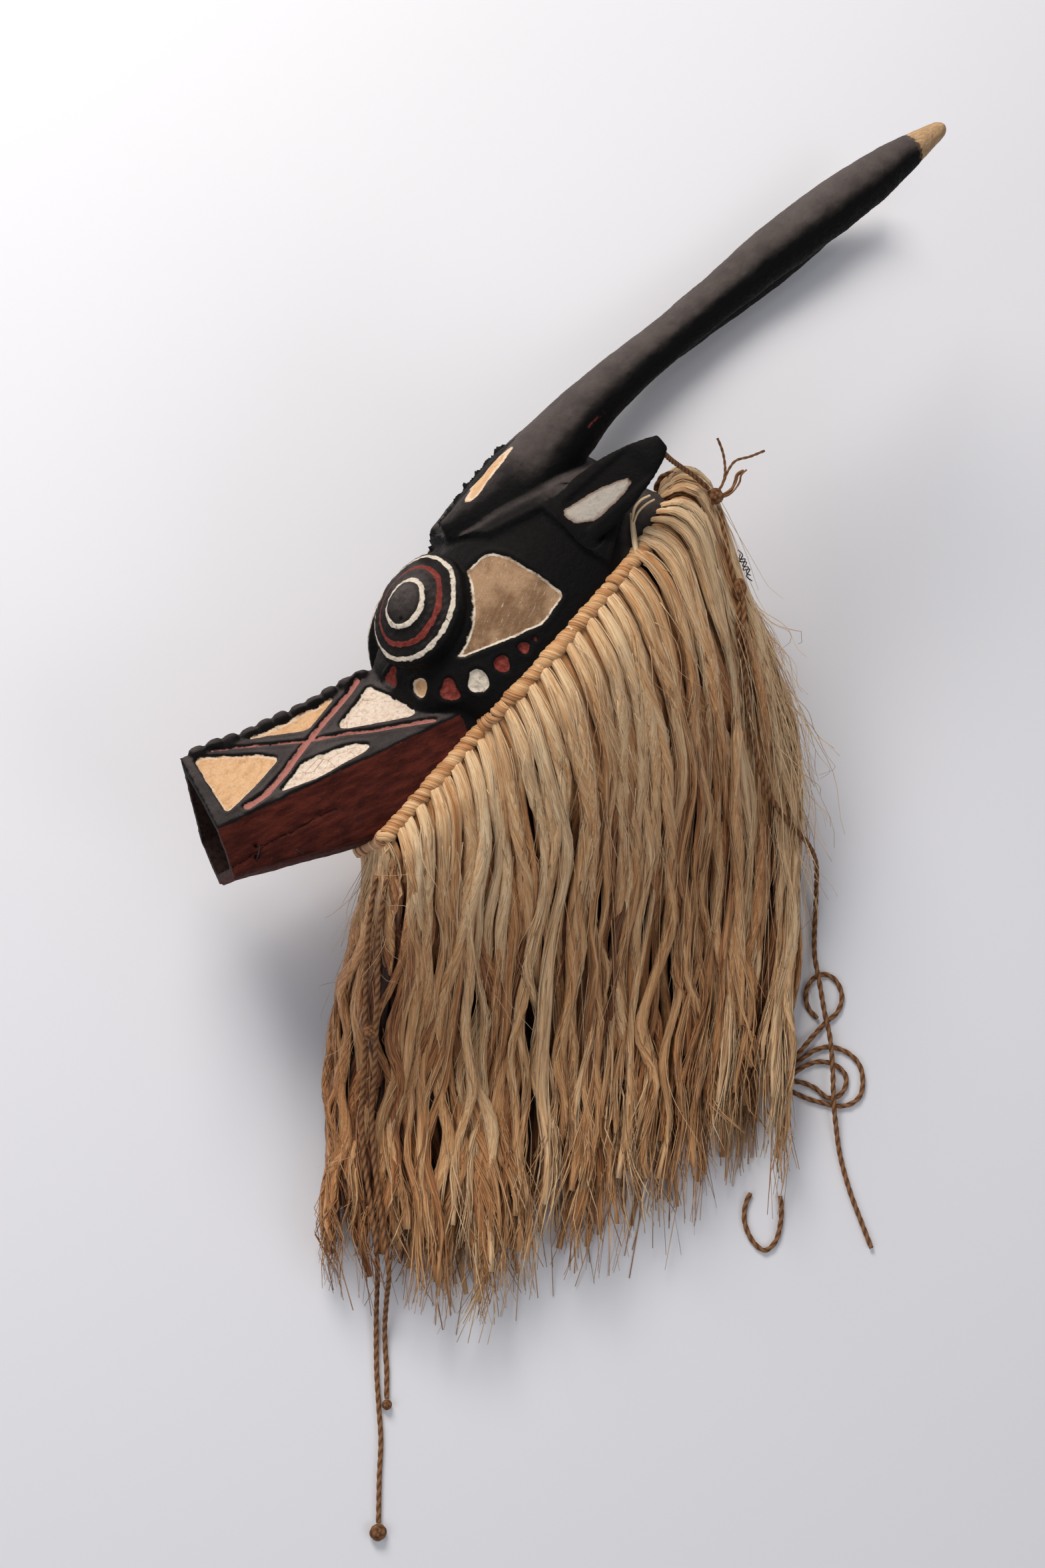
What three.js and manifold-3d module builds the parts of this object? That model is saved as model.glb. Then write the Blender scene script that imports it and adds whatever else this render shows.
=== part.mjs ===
import * as THREE from "three";
import { mergeVertices } from "three/addons/utils/BufferGeometryUtils.js";
import Module from "manifold-3d";

// Buffalo mask lying on its right side, in millimetres.
// The carving is worked out in head coordinates: s runs back along the snout, t up across it, and z
// out of the mask's left side, with z = 0 on the plane between the horns.

// Where the mask lies
const HALF_WIDTH = 122;
const SNOUT_PITCH = THREE.MathUtils.degToRad(26);
const SNOUT_FOOT = { x: -194.3, y: -69.0 };
const BOX_CENTRE = { x: 21.1, y: 40.5 };

// Snout, an open box tube with a roof
const SNOUT = {
  ridge: 92, ridgeDip: 4.5, ridgeLength: 146, eaves: 38, eavesHalf: 50, flare: 0.055,
  floor: 2, floorFall: 0.18, floorHalf: 44, corner: 8, cornerReach: 1.6, cornerCut: 0.3,
  back: 200, wall: 8, mouthLean: 0.08, roofWall: 1.35, eavesWall: 0.35, rings: 8,
};
const RIDGE_COMB = {
  first: 6, pitch: 12.4, count: 11, half: 5, height: 5, sunk: 2.5, deep: 12, pointsPerBump: 4,
  firstPoint: 0.25, fullness: 1.1, roundness: 0.6,
};

// Room inside the hood and snout
const ROOM = { around: 16, steps: 10, mouthPast: 20, backShort: 6 };

// Longer than any part of the carving, for cutters
const REACH = 300;

// Rim of the hood, a plane tilted to the snout
const RIM = {
  front: 91.5, back: 379, frontT: -13.3, tilt: THREE.MathUtils.degToRad(22.8), chin: 12, tuck: 2,
  steps: 60, nape: 2, fullest: 0.98,
};

// Hood over the top of the head
const HOOD = {
  nose: 140, waist: 250, tail: 382, half: 95, wall: 9,
  shoulder: 55, shoulderRise: 25, shoulderDrop: 3, napeFirst: 290, napeLast: 375,
  skirtShort: 20, skirtLong: 75, skirtFirst: 165, skirtLast: 215, skirtPower: 2.4, tailPower: 2.4,
  browPower: 1.35, crownPower: 2.3, crownFirst: 150, crownLast: 200, napePower: 0.5,
  leastHalf: 2, leastHeight: 6, noseInset: 3, tailInset: 1, hold: 2, around: 22, steps: 15,
};
const CREST = [
  [140, 84], [150, 97], [180, 122], [228, 154], [260, 173], [300, 188], [322, 180], [344, 157],
  [363, 131], [382, 108],
];

// Raised block that carries horns and ears, with a V-shaped lower edge
const BLOCK = {
  proud: 4, farFront: 230, around: 20, steps: 12,
  outline: [[219, 230], [219, 150], [242, 134], [279, 135], [291, 99], [302, 84], [330, 112], [330, 230]],
};

// Goggle eye, a stepped cone whose axis looks forward, up and out; the far one sits further back
const EYE = {
  centre: [180.9, 111.3, 52], farBack: [4, -1.5, 0], axis: [-0.58, 0.587, 0.56], sunk: 26,
  rings: [[40.5, 0], [38, 3], [33.5, 6], [26, 9.5], [18.6, 12], [13.5, 15.5]],
  step: 0.6, crown: 1, taper: 4, sides: 18,
};

// Horn, swept along a curve of (s, t, z, half height), with a ridge along its outer side
const HORN_LINE = [
  [221, 153, 42, 7], [244, 151, 48, 18], [284, 159, 58, 25], [312, 173, 66, 23], [350, 189, 77, 18],
  [404, 204, 89, 15], [443, 214, 96, 15], [485, 225, 102, 17], [522, 233, 105, 18], [572, 243, 101, 17],
  [615, 252, 92, 12], [646, 258, 84, 6],
];
const FAR_HORN_ROOT = [[232, 158, 42, 6], [252, 155, 49, 18]];
const HORN = { sides: 8, steps: 13, squareness: 1.7 };

// Ear, a leaf with a shallow scoop
const EAR = {
  root: [288, 119, 84], tip: [366, 142, 117], across: [0.08, 1, -0.1], half: 22, thick: 6.5,
  tipHalf: 6, thinning: 0.5, rings: 8, sides: 8,
  scoop: { grow: 0.55, depth: 3, first: 0.14, last: 0.86 },
};

// Recessed panels of the snout roof, as (s, distance down from the ridge)
const PANEL_DEPTH = 1.8;
const PANEL_CUTTER = 18;
const PANEL_MIDDLE = 75;
const ROOF_PANELS = [
  [[8, 7], [56, 38], [7, 64]],
  [[48, 8], [113, 8], [81, 29]],
  [[136, 17], [149, 54], [103, 39]],
  [[45, 68], [86, 51], [112, 67]],
];

// Fringe of looped hanks between the rim and a flattened hem
const FRINGE = {
  hanks: 37, drop: 9.5, outset: 3, thick: 5.8, gap: 0.84, ragged: 0.035, wave: 0.004, ply: 1.6,
  fanPower: 3.4, fallPower: 1.05, settle: 0.7, lift: 30, archEnd: 0.14, archPower: 0.6,
  flare: 14, flareEnd: 0.85, napeHalf: 0.2, loose: 0.3, point: 1.5, probe: 0.004, stride: 0.03,
  turn: 2.4, plyTurns: 5, waveDown: 7, waveRound: 5,
};

// Stations of a hank as (place down its length, thickness, width): hitch, neck, body, frayed end
const HANK_STATIONS = [
  [0, 0.85, 1], [0.035, 0.6, 0.8], [0.13, 0.95, 1], [0.36, 1.05, 1], [0.7, 0.95, 1], [1, 0.35, 0.4],
];
const HEM = {
  left: -115, right: 206, upper: 36, lower: 6, bottom: -356,
  crownX: 0, riseLeft: 0.0046, riseRight: 0.0024,
  endPower: 0.8, flatness: 0.3, points: 80,
};

const HEADING = { radius: 2.2, outset: -1, drop: 2.8, steps: 32, sides: 6 };

// Two-ply cords, as routes of (x, y, height) in lying coordinates
const CORD = { diameter: 3.8, sides: 8, stepDiameters: 3.6 };
const CORD_ROUTES = {
  ear_cord: [
    [74.5, 211, 236], [83.5, 210.5, 216], [95.5, 209.5, 194], [109, 207, 174], [122, 202, 158],
  ],
  arch_cord: [
    [91.5, 204, 131], [92.2, 208, 134], [95, 212.5, 138], [100.5, 214, 142], [107.5, 212.5, 145],
    [115, 209, 148.5], [121.5, 204.5, 150.5],
  ],
  back_cord: [
    [132.5, 188.5, 149.5], [135, 178.5, 148], [138, 159.5, 149], [141, 145, 150.5], [144.5, 132, 151.5],
    [145, 119, 152.5], [144.5, 105, 152], [147.5, 93, 146.5], [151.5, 79, 139], [157, 56, 128],
    [164.5, 29, 114.5], [175.5, 4, 102], [191, -14, 84.5], [206, -24, 68], [219.5, -33, 50], [230, -44, 30],
    [235, -62, 12], [236, -84, 3.6], [235.5, -108, 4], [237.5, -124.5, 7.2], [242, -150.5, 7.2],
    [245.5, -166.5, 7.2], [247.5, -190, 7.2], [248, -212, 7.2], [250.5, -232, 4.5],
    [254, -252, 2.4], [261, -277, 2.2], [270, -300.5, 2.2], [276.5, -317, 2.2],
  ],
  back_cord_loop: [
    [237.5, -153.5, 2.2], [231, -146, 2.2], [229.5, -135.5, 2.2], [234, -126, 2.2], [243.5, -122, 2.2],
    [252, -127, 2.2], [256, -138, 2.2], [252.5, -149, 2.2], [244.5, -156, 2.2], [235, -165.5, 3],
    [226.5, -174.5, 5.5], [219.5, -182.5, 7.2], [213.5, -189, 7.2],
  ],
  back_cord_outer_ring: [
    [215.5, -204.5, 2.2], [222, -207.5, 2.2], [230.5, -211, 2.2], [241.5, -214, 2.2], [253, -216, 2.2],
    [262, -214.5, 2.2], [269, -208.5, 2.2], [271, -197, 2.2], [268.5, -186.5, 2.2], [262, -179.5, 2.2],
    [253, -175, 2.2], [244, -174, 2.2], [235.5, -176.5, 2.2], [227.5, -181.5, 2.2], [221.5, -186, 2.2],
    [216.5, -189.5, 2.2],
  ],
  back_cord_inner_ring: [
    [217.5, -198.5, 2.2], [226.5, -199.5, 2.2], [236, -203.5, 2.2], [244.5, -210, 2.2], [252, -209.5, 2.2],
    [258, -202.5, 2.2], [258, -193.5, 2.2], [250, -186.5, 2.2], [238.5, -184.5, 2.2], [227.5, -188, 2.2],
    [219.5, -193.5, 2.2],
  ],
  back_cord_bight: [
    [188, -278, 2.2], [184.5, -285.5, 2.2], [183.5, -298, 2.2], [189.5, -312, 2.2], [198, -318.5, 2.2],
    [205.5, -313, 2.2], [209.5, -301, 2.2], [210.5, -288.5, 2.2], [209.5, -280, 2.2],
  ],
  front_cord: [
    [-106, -67, 156], [-108, -90, 143], [-107.5, -114, 126], [-105, -138, 105], [-103.5, -153, 94.5],
    [-102, -168, 84.5], [-100, -194.5, 67], [-99, -222, 50], [-96, -255, 41.5], [-91, -287, 40.5],
    [-87, -314, 39], [-83, -338, 19], [-81.5, -362, 5.5], [-81, -385, 2.5], [-80.5, -403.5, 2.2],
    [-79, -426, 2.2], [-77.5, -448.5, 2.2], [-78.5, -475, 2.2], [-79, -506, 2.2],
  ],
  front_cord_return: [
    [-100.5, -68, 166], [-101.5, -90.5, 150], [-100.5, -113.5, 129.5], [-98, -138, 113],
    [-97, -153.5, 101], [-95.5, -168.5, 90.5], [-93.5, -194.5, 72], [-92.5, -222.5, 53],
    [-89.5, -255, 44], [-85, -287, 42], [-81, -314, 40.5], [-78, -332, 38.5], [-76.5, -352, 19],
    [-75.5, -372, 5.5], [-74.5, -388, 2.6], [-73.5, -400, 2.2], [-73.5, -412, 2.2], [-73.5, -420.5, 2.2],
  ],
};
const KNOTS = {
  back_knot: { at: [128, 197, 153], half: [8, 7.5, 7] },
  front_cord_hitch: { at: [-73.5, -424.6, 3.8], half: [3.4, 3.6, 3.4] },
  front_cord_end_knot: { at: [-79.5, -512.3, 4.4], half: [5.8, 5.8, 4] },
};

const wasm = await Module();
wasm.setup();

// Solid helpers
function welded(geometry) {
  const bare = geometry.clone();
  bare.deleteAttribute("normal");
  bare.deleteAttribute("uv");
  return mergeVertices(bare, 1e-4);
}

function toManifold(geometry) {
  const merged = welded(geometry);
  return new wasm.Manifold(new wasm.Mesh({
    numProp: 3,
    vertProperties: new Float32Array(merged.attributes.position.array),
    triVerts: new Uint32Array(merged.index.array),
  }));
}

function toGeometry(manifold) {
  const mesh = manifold.getMesh();
  const geometry = new THREE.BufferGeometry();
  geometry.setAttribute("position", new THREE.BufferAttribute(new Float32Array(mesh.vertProperties), 3));
  geometry.setIndex(new THREE.BufferAttribute(new Uint32Array(mesh.triVerts), 1));
  geometry.computeVertexNormals();
  return geometry;
}

function volumeOf(position, index) {
  const a = new THREE.Vector3();
  const b = new THREE.Vector3();
  const c = new THREE.Vector3();
  let sum = 0;
  for (let i = 0; i < index.length; i += 3) {
    a.fromArray(position, 3 * index[i]);
    b.fromArray(position, 3 * index[i + 1]);
    c.fromArray(position, 3 * index[i + 2]);
    sum += a.dot(b.cross(c)) / 6;
  }
  return sum;
}

// Closed solid through a row of rings that all have the same number of points, with pointed ends
function loft(rings, point = 0) {
  const around = rings[0].length;
  const points = rings.flat();
  const index = [];
  for (let i = 0; i + 1 < rings.length; i += 1) {
    for (let j = 0; j < around; j += 1) {
      const a = i * around + j;
      const b = i * around + ((j + 1) % around);
      index.push(a, b, b + around, a, b + around, a + around);
    }
  }
  [0, rings.length - 1].forEach((end) => {
    const middle = new THREE.Vector3();
    rings[end].forEach((p) => middle.addScaledVector(p, 1 / around));
    const inner = new THREE.Vector3();
    rings[end === 0 ? 1 : end - 1].forEach((p) => inner.addScaledVector(p, 1 / around));
    middle.addScaledVector(middle.clone().sub(inner).normalize(), point);
    const hub = points.push(middle) - 1;
    for (let j = 0; j < around; j += 1) {
      const a = end * around + j;
      const b = end * around + ((j + 1) % around);
      index.push(...(end === 0 ? [hub, b, a] : [hub, a, b]));
    }
  });
  const position = points.flatMap((p) => [p.x, p.y, p.z]);
  if (volumeOf(position, index) < 0) index.reverse();
  const geometry = new THREE.BufferGeometry();
  geometry.setAttribute("position", new THREE.Float32BufferAttribute(position, 3));
  geometry.setIndex(index);
  return geometry;
}

// Closed ring of round section through a loop of points
function ringTube(points, radius, sides) {
  const count = points.length;
  const position = [];
  const index = [];
  const axis = new THREE.Vector3();
  for (let i = 0; i < count; i += 1) {
    axis.copy(points[(i + 1) % count]).sub(points[(i + count - 1) % count]).normalize();
    const out = new THREE.Vector3().crossVectors(axis, rimNormal).normalize();
    for (let j = 0; j < sides; j += 1) {
      const angle = (2 * Math.PI * j) / sides;
      const p = points[i].clone().addScaledVector(out, radius * Math.cos(angle))
        .addScaledVector(rimNormal, radius * Math.sin(angle));
      position.push(p.x, p.y, p.z);
      const a = i * sides + j;
      const b = i * sides + ((j + 1) % sides);
      const c = ((i + 1) % count) * sides + j;
      const d = ((i + 1) % count) * sides + ((j + 1) % sides);
      index.push(a, c, b, b, c, d);
    }
  }
  if (volumeOf(position, index) < 0) index.reverse();
  const geometry = new THREE.BufferGeometry();
  geometry.setAttribute("position", new THREE.Float32BufferAttribute(position, 3));
  geometry.setIndex(index);
  return geometry;
}

const solidLoft = (rings) => toManifold(loft(rings));
const mirrored = (manifold) => manifold.mirror([0, 0, 1]);
const bothSides = (manifold) => manifold.add(mirrored(manifold));

// Prism across the whole mask from an outline of (s, t) points
function prism(outline, low, high) {
  const shape = new THREE.Shape(outline.map(([s, t]) => new THREE.Vector2(s, t)));
  const geometry = new THREE.ExtrudeGeometry(shape, { depth: high - low, bevelEnabled: false });
  geometry.translate(0, 0, low);
  return toManifold(geometry);
}

// Smooth step from 0 at a to 1 at b
function ease(value, a, b) {
  const k = THREE.MathUtils.clamp((value - a) / (b - a), 0, 1);
  return k * k * (3 - 2 * k);
}

// Height of a smooth line through (s, height) pairs
function lineHeight(pairs, s) {
  const last = pairs.length - 1;
  if (s <= pairs[0][0]) return pairs[0][1];
  if (s >= pairs[last][0]) return pairs[last][1];
  const i = pairs.findIndex((p, k) => k < last && s < pairs[k + 1][0]);
  const [s0, h0] = pairs[i];
  const [s1, h1] = pairs[i + 1];
  const slope = (k) => {
    const [a, b] = [pairs[Math.max(k - 1, 0)], pairs[Math.min(k + 1, last)]];
    return (b[1] - a[1]) / (b[0] - a[0]);
  };
  const x = (s - s0) / (s1 - s0);
  const span = s1 - s0;
  return h0 * (1 + 2 * x) * (1 - x) ** 2 + h1 * x * x * (3 - 2 * x)
    + span * (slope(i) * x * (1 - x) ** 2 - slope(i + 1) * x * x * (1 - x));
}

// Snout
const ridgeAt = (s) => SNOUT.ridge
  - SNOUT.ridgeDip * Math.sin(Math.PI * THREE.MathUtils.clamp(s / SNOUT.ridgeLength, 0, 1));
const eavesHalfAt = (s) => SNOUT.eavesHalf + SNOUT.flare * s;
const floorAt = (s) => SNOUT.floor - SNOUT.floorFall * s;

function snoutRing(s, inset) {
  const eaves = eavesHalfAt(s) - inset;
  const floorHalf = SNOUT.floorHalf + SNOUT.flare * s - inset;
  const floor = floorAt(s) + inset;
  const corner = SNOUT.corner - inset / 2;
  const { cornerReach, cornerCut } = SNOUT;
  const half = [
    [0, ridgeAt(s) - SNOUT.roofWall * inset], [eaves, SNOUT.eaves - SNOUT.eavesWall * inset],
    [floorHalf + 1, floor + cornerReach * corner],
    [floorHalf - cornerCut * corner, floor + cornerCut * corner], [floorHalf - cornerReach * corner, floor],
  ];
  const other = half.slice(1).reverse().map(([z, t]) => [-z, t]);
  return [...half, ...other].map(([z, t]) => {
    const lean = s < 1 ? SNOUT.mouthLean * (t - SNOUT.ridge) : 0;
    return new THREE.Vector3(s + lean, t, z);
  });
}

function snoutTube(inset, first, last) {
  const rings = [];
  for (let i = 0; i <= SNOUT.rings; i += 1) {
    rings.push(snoutRing(THREE.MathUtils.lerp(first, last, i / SNOUT.rings), inset));
  }
  return solidLoft(rings);
}

// Row of rounded bumps along the ridge of the snout
function ridgeComb() {
  const { first, pitch, count, half, height, sunk, deep, pointsPerBump } = RIDGE_COMB;
  const { firstPoint, fullness, roundness } = RIDGE_COMB;
  const end = first + pitch * count;
  const outline = [[end, ridgeAt(end) - deep], [first, ridgeAt(first) - deep]];
  for (let i = 0; i < count * pointsPerBump; i += 1) {
    const place = (i + firstPoint) / pointsPerBump;
    const s = first + pitch * place;
    const bump = Math.sin(Math.PI * Math.min(1, fullness * (place % 1))) ** roundness;
    outline.push([s, ridgeAt(s) - sunk + height * bump]);
  }
  return prism(outline.reverse(), -half, half);
}

// Cutter for one recessed panel on the near slope of the roof
function roofPanel(points) {
  const shape = new THREE.Shape(points.map(([s, q]) => new THREE.Vector2(s, -q)));
  const geometry = new THREE.ExtrudeGeometry(shape, { depth: PANEL_CUTTER, bevelEnabled: false });
  const ridge = ridgeAt(PANEL_MIDDLE);
  const down = new THREE.Vector3(0, SNOUT.eaves - ridge, eavesHalfAt(PANEL_MIDDLE)).normalize();
  const along = new THREE.Vector3(1, 0, 0);
  const out = new THREE.Vector3().crossVectors(down, along);
  const place = new THREE.Matrix4().makeBasis(along, down.clone().negate(), out);
  const base = new THREE.Vector3(0, ridge, 0).addScaledVector(out, -PANEL_DEPTH);
  geometry.applyMatrix4(place.setPosition(base));
  return toManifold(geometry);
}

// Hood
const rimAt = (s) => RIM.frontT + (s - RIM.front) * Math.tan(RIM.tilt);

function hoodSize(s) {
  const ahead = ((HOOD.waist - s) / (HOOD.waist - HOOD.nose)) ** 2;
  const behind = Math.max(0, (s - HOOD.waist) / (HOOD.tail - HOOD.waist)) ** HOOD.tailPower;
  const nape = ease(s, HOOD.napeFirst, HOOD.napeLast);
  const skirt = ease(s, HOOD.skirtFirst, HOOD.skirtLast);
  const shoulderRise = THREE.MathUtils.lerp(HOOD.shoulderRise, HOOD.shoulderDrop, nape);
  const crown = ease(s, HOOD.crownFirst, HOOD.crownLast);
  return {
    half: HOOD.half * Math.sqrt(Math.max(0, 1 - (s < HOOD.waist ? ahead : behind))),
    top: lineHeight(CREST, s),
    waist: Math.max(rimAt(s) + shoulderRise, HOOD.shoulder),
    below: THREE.MathUtils.lerp(HOOD.skirtShort, HOOD.skirtLong, skirt),
    power: THREE.MathUtils.lerp(HOOD.browPower, HOOD.crownPower, crown) - HOOD.napePower * nape,
  };
}

function hoodRing(s, swell, around) {
  const size = hoodSize(s);
  const half = Math.max(size.half + swell, HOOD.leastHalf);
  const ring = [];
  for (let i = 0; i < around; i += 1) {
    const angle = (2 * Math.PI * (i + 0.5)) / around;
    const up = Math.cos(angle);
    const out = Math.sin(angle);
    const power = up > 0 ? size.power : HOOD.skirtPower;
    const reach = (Math.abs(up) ** power + Math.abs(out) ** power) ** (-1 / power);
    const crown = Math.max(size.top - size.waist + swell, HOOD.leastHeight);
    const height = up > 0 ? crown : size.below;
    ring.push(new THREE.Vector3(s, size.waist + up * reach * height, out * reach * half));
  }
  return ring;
}

function hoodForm(swell, around, steps) {
  const rings = [];
  const first = HOOD.nose + HOOD.noseInset - swell;
  const last = HOOD.tail - HOOD.tailInset + swell;
  for (let i = 0; i <= steps; i += 1) {
    const x = i / steps;
    const s = THREE.MathUtils.lerp(first, last, 0.5 - 0.5 * Math.cos(Math.PI * x));
    const held = THREE.MathUtils.clamp(s, HOOD.nose + HOOD.hold, HOOD.tail - HOOD.hold);
    rings.push(hoodRing(held, swell, around).map((p) => p.setX(s)));
  }
  return solidLoft(rings);
}

// Everything under the plane of the rim
function underRim() {
  const start = new THREE.Vector2(RIM.front - RIM.chin, rimAt(RIM.front - RIM.chin));
  const along = new THREE.Vector2(Math.cos(RIM.tilt), Math.sin(RIM.tilt));
  const end = start.clone().addScaledVector(along, 1.4 * REACH);
  const down = new THREE.Vector2(along.y, -along.x).multiplyScalar(REACH);
  const outline = [start, start.clone().add(down), end.clone().add(down), end];
  return prism(outline.map((p) => [p.x, p.y]), -REACH, REACH);
}

// Eye
function eye(shift) {
  const { centre, sunk, rings, step, crown, taper, sides } = EYE;
  const profile = [new THREE.Vector2(0, -sunk), new THREE.Vector2(rings[0][0] - taper, -sunk)];
  rings.forEach(([radius, height], i) => {
    profile.push(new THREE.Vector2(radius, height));
    if (rings[i + 1]) profile.push(new THREE.Vector2(rings[i + 1][0] + step, height + step));
  });
  profile.push(new THREE.Vector2(0, rings[rings.length - 1][1] + crown));
  const geometry = new THREE.LatheGeometry(profile, sides);
  const axis = new THREE.Vector3(...EYE.axis).normalize();
  geometry.applyQuaternion(new THREE.Quaternion().setFromUnitVectors(new THREE.Vector3(0, 1, 0), axis));
  geometry.translate(...centre.map((value, k) => value + shift[k]));
  return toManifold(geometry);
}

// Horn
function horn(places) {
  const stations = places.map(([s, t, z]) => new THREE.Vector3(s, t, z));
  const line = new THREE.CatmullRomCurve3(stations, false, "centripetal");
  const heights = places.map(([s, , , half]) => [s, half]);
  const rings = [];
  for (let i = 0; i <= HORN.steps; i += 1) {
    const x = i / HORN.steps;
    const centre = line.getPointAt(x);
    const along = line.getTangentAt(x);
    const out = new THREE.Vector3(0, 0, 1).addScaledVector(along, -along.z).normalize();
    const up = new THREE.Vector3().crossVectors(out, along);
    const half = lineHeight(heights, centre.x);
    const ring = [];
    for (let j = 0; j < HORN.sides; j += 1) {
      const angle = (2 * Math.PI * j) / HORN.sides;
      const c = Math.cos(angle);
      const d = Math.sin(angle);
      const span = Math.abs(c) ** HORN.squareness + Math.abs(d) ** HORN.squareness;
      const reach = half * span ** (-1 / HORN.squareness);
      ring.push(centre.clone().addScaledVector(out, c * reach).addScaledVector(up, d * reach));
    }
    rings.push(ring);
  }
  return solidLoft(rings);
}

// Leaf swept from first to last along the ear, moved outward by lift
function leaf(grow, lift, thick, first, last) {
  const root = new THREE.Vector3(...EAR.root);
  const tip = new THREE.Vector3(...EAR.tip);
  const along = tip.clone().sub(root).normalize();
  const across = new THREE.Vector3(...EAR.across);
  across.addScaledVector(along, -along.dot(across)).normalize();
  const out = new THREE.Vector3().crossVectors(along, across);
  const rings = [];
  for (let i = 0; i <= EAR.rings; i += 1) {
    const x = i / EAR.rings;
    const half = grow * THREE.MathUtils.lerp(EAR.half, EAR.tipHalf, x ** 3);
    const depth = thick * (1 - EAR.thinning * x);
    const centre = root.clone().lerp(tip, THREE.MathUtils.lerp(first, last, x)).addScaledVector(out, lift);
    const ring = [];
    for (let j = 0; j < EAR.sides; j += 1) {
      const angle = (2 * Math.PI * (j + 0.5)) / EAR.sides;
      ring.push(centre.clone().addScaledVector(across, half * Math.cos(angle))
        .addScaledVector(out, depth * Math.sin(angle)));
    }
    rings.push(ring);
  }
  return solidLoft(rings);
}

function ear() {
  const { grow, depth, first, last } = EAR.scoop;
  const body = leaf(1, 0, EAR.thick, 0, 1);
  return body.subtract(leaf(grow, EAR.thick + 1, depth + 1, first, last));
}

// The whole carved piece
function maskBody() {
  let outer = snoutTube(0, 0, SNOUT.back).add(ridgeComb());
  ROOF_PANELS.forEach((points) => {
    outer = outer.subtract(bothSides(roofPanel(points)));
  });
  const farOutline = BLOCK.outline.map(([s, t]) => [Math.max(s, BLOCK.farFront), t]);
  const block = hoodForm(BLOCK.proud, BLOCK.around, BLOCK.steps)
    .intersect(prism(BLOCK.outline, 0, REACH).add(prism(farOutline, -REACH, 0)));
  outer = outer.add(hoodForm(0, HOOD.around, HOOD.steps)).add(block);
  outer = outer.add(eye([0, 0, 0])).add(mirrored(eye(EYE.farBack)));
  const farLine = [...FAR_HORN_ROOT, ...HORN_LINE.slice(FAR_HORN_ROOT.length)];
  outer = outer.add(horn(HORN_LINE)).add(mirrored(horn(farLine)));
  const room = hoodForm(-HOOD.wall, ROOM.around, ROOM.steps)
    .add(snoutTube(SNOUT.wall, -ROOM.mouthPast, SNOUT.back - ROOM.backShort));
  const whole = outer.subtract(room).subtract(underRim()).add(bothSides(ear()).subtract(room));
  const table = [[-REACH, -REACH], [3 * REACH, -REACH], [3 * REACH, 2 * REACH], [-REACH, 2 * REACH]];
  return whole.subtract(prism(table, -2 * HALF_WIDTH, -HALF_WIDTH));
}

// Fringe
// Point of the rim at fraction u of its length, from the chin round the near side and back
function rimLoop() {
  const near = [];
  near.push(new THREE.Vector3(RIM.front, rimAt(RIM.front), 0));
  for (let i = 0; i <= RIM.steps; i += 1) {
    const x = i / RIM.steps;
    const s = THREE.MathUtils.lerp(RIM.front, RIM.back, 0.5 - 0.5 * Math.cos(Math.PI * x));
    const size = hoodSize(THREE.MathUtils.clamp(s, HOOD.nose + 1, HOOD.tail - 1));
    const under = THREE.MathUtils.clamp((size.waist - rimAt(s)) / size.below, 0, RIM.fullest);
    const hood = s > HOOD.nose ? size.half * (1 - under ** HOOD.skirtPower) ** (1 / HOOD.skirtPower) : 0;
    const snout = s < SNOUT.back ? eavesHalfAt(s) - RIM.tuck : 0;
    near.push(new THREE.Vector3(s, rimAt(s), Math.max(hood, snout)));
  }
  near.push(new THREE.Vector3(RIM.back + RIM.nape, rimAt(RIM.back + RIM.nape), 0));
  const far = near.slice(1, -1).reverse().map((p) => new THREE.Vector3(p.x, p.y, -p.z));
  return new THREE.CatmullRomCurve3([...near, ...far], true, "centripetal");
}

// The same loop flattened at the hem, in lying coordinates
function hemLoop() {
  const points = [];
  const half = (HEM.right - HEM.left) / 2;
  const middle = (HEM.right + HEM.left) / 2;
  const depth = (HEM.upper - HEM.lower) / 2;
  for (let i = 0; i < HEM.points; i += 1) {
    const angle = (2 * Math.PI * i) / HEM.points;
    const c = Math.cos(angle);
    const d = Math.sin(angle);
    const x = middle - half * Math.sign(c) * Math.abs(c) ** HEM.endPower;
    const rise = x < HEM.crownX ? HEM.riseLeft : HEM.riseRight;
    const z = HEM.lower + depth + depth * Math.sign(d) * Math.abs(d) ** HEM.flatness - HALF_WIDTH;
    points.push(new THREE.Vector3(x, HEM.bottom + rise * (x - HEM.crownX) ** 2, z));
  }
  return new THREE.CatmullRomCurve3(points, true, "centripetal");
}

const headToLying = new THREE.Matrix4()
  .makeRotationZ(SNOUT_PITCH)
  .setPosition(SNOUT_FOOT.x, SNOUT_FOOT.y, 0);
const rimCurve = rimLoop();
const hemCurve = hemLoop();
const LOOP_DIVISIONS = 2000;
rimCurve.arcLengthDivisions = LOOP_DIVISIONS;
hemCurve.arcLengthDivisions = LOOP_DIVISIONS;
const rimNormal = new THREE.Vector3(Math.sin(RIM.tilt), -Math.cos(RIM.tilt), 0);

const HANK_SECTION = [[-1, 0], [-0.55, 1], [0.55, 1], [1, 0], [0.55, -1], [-0.55, -1]];

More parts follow.
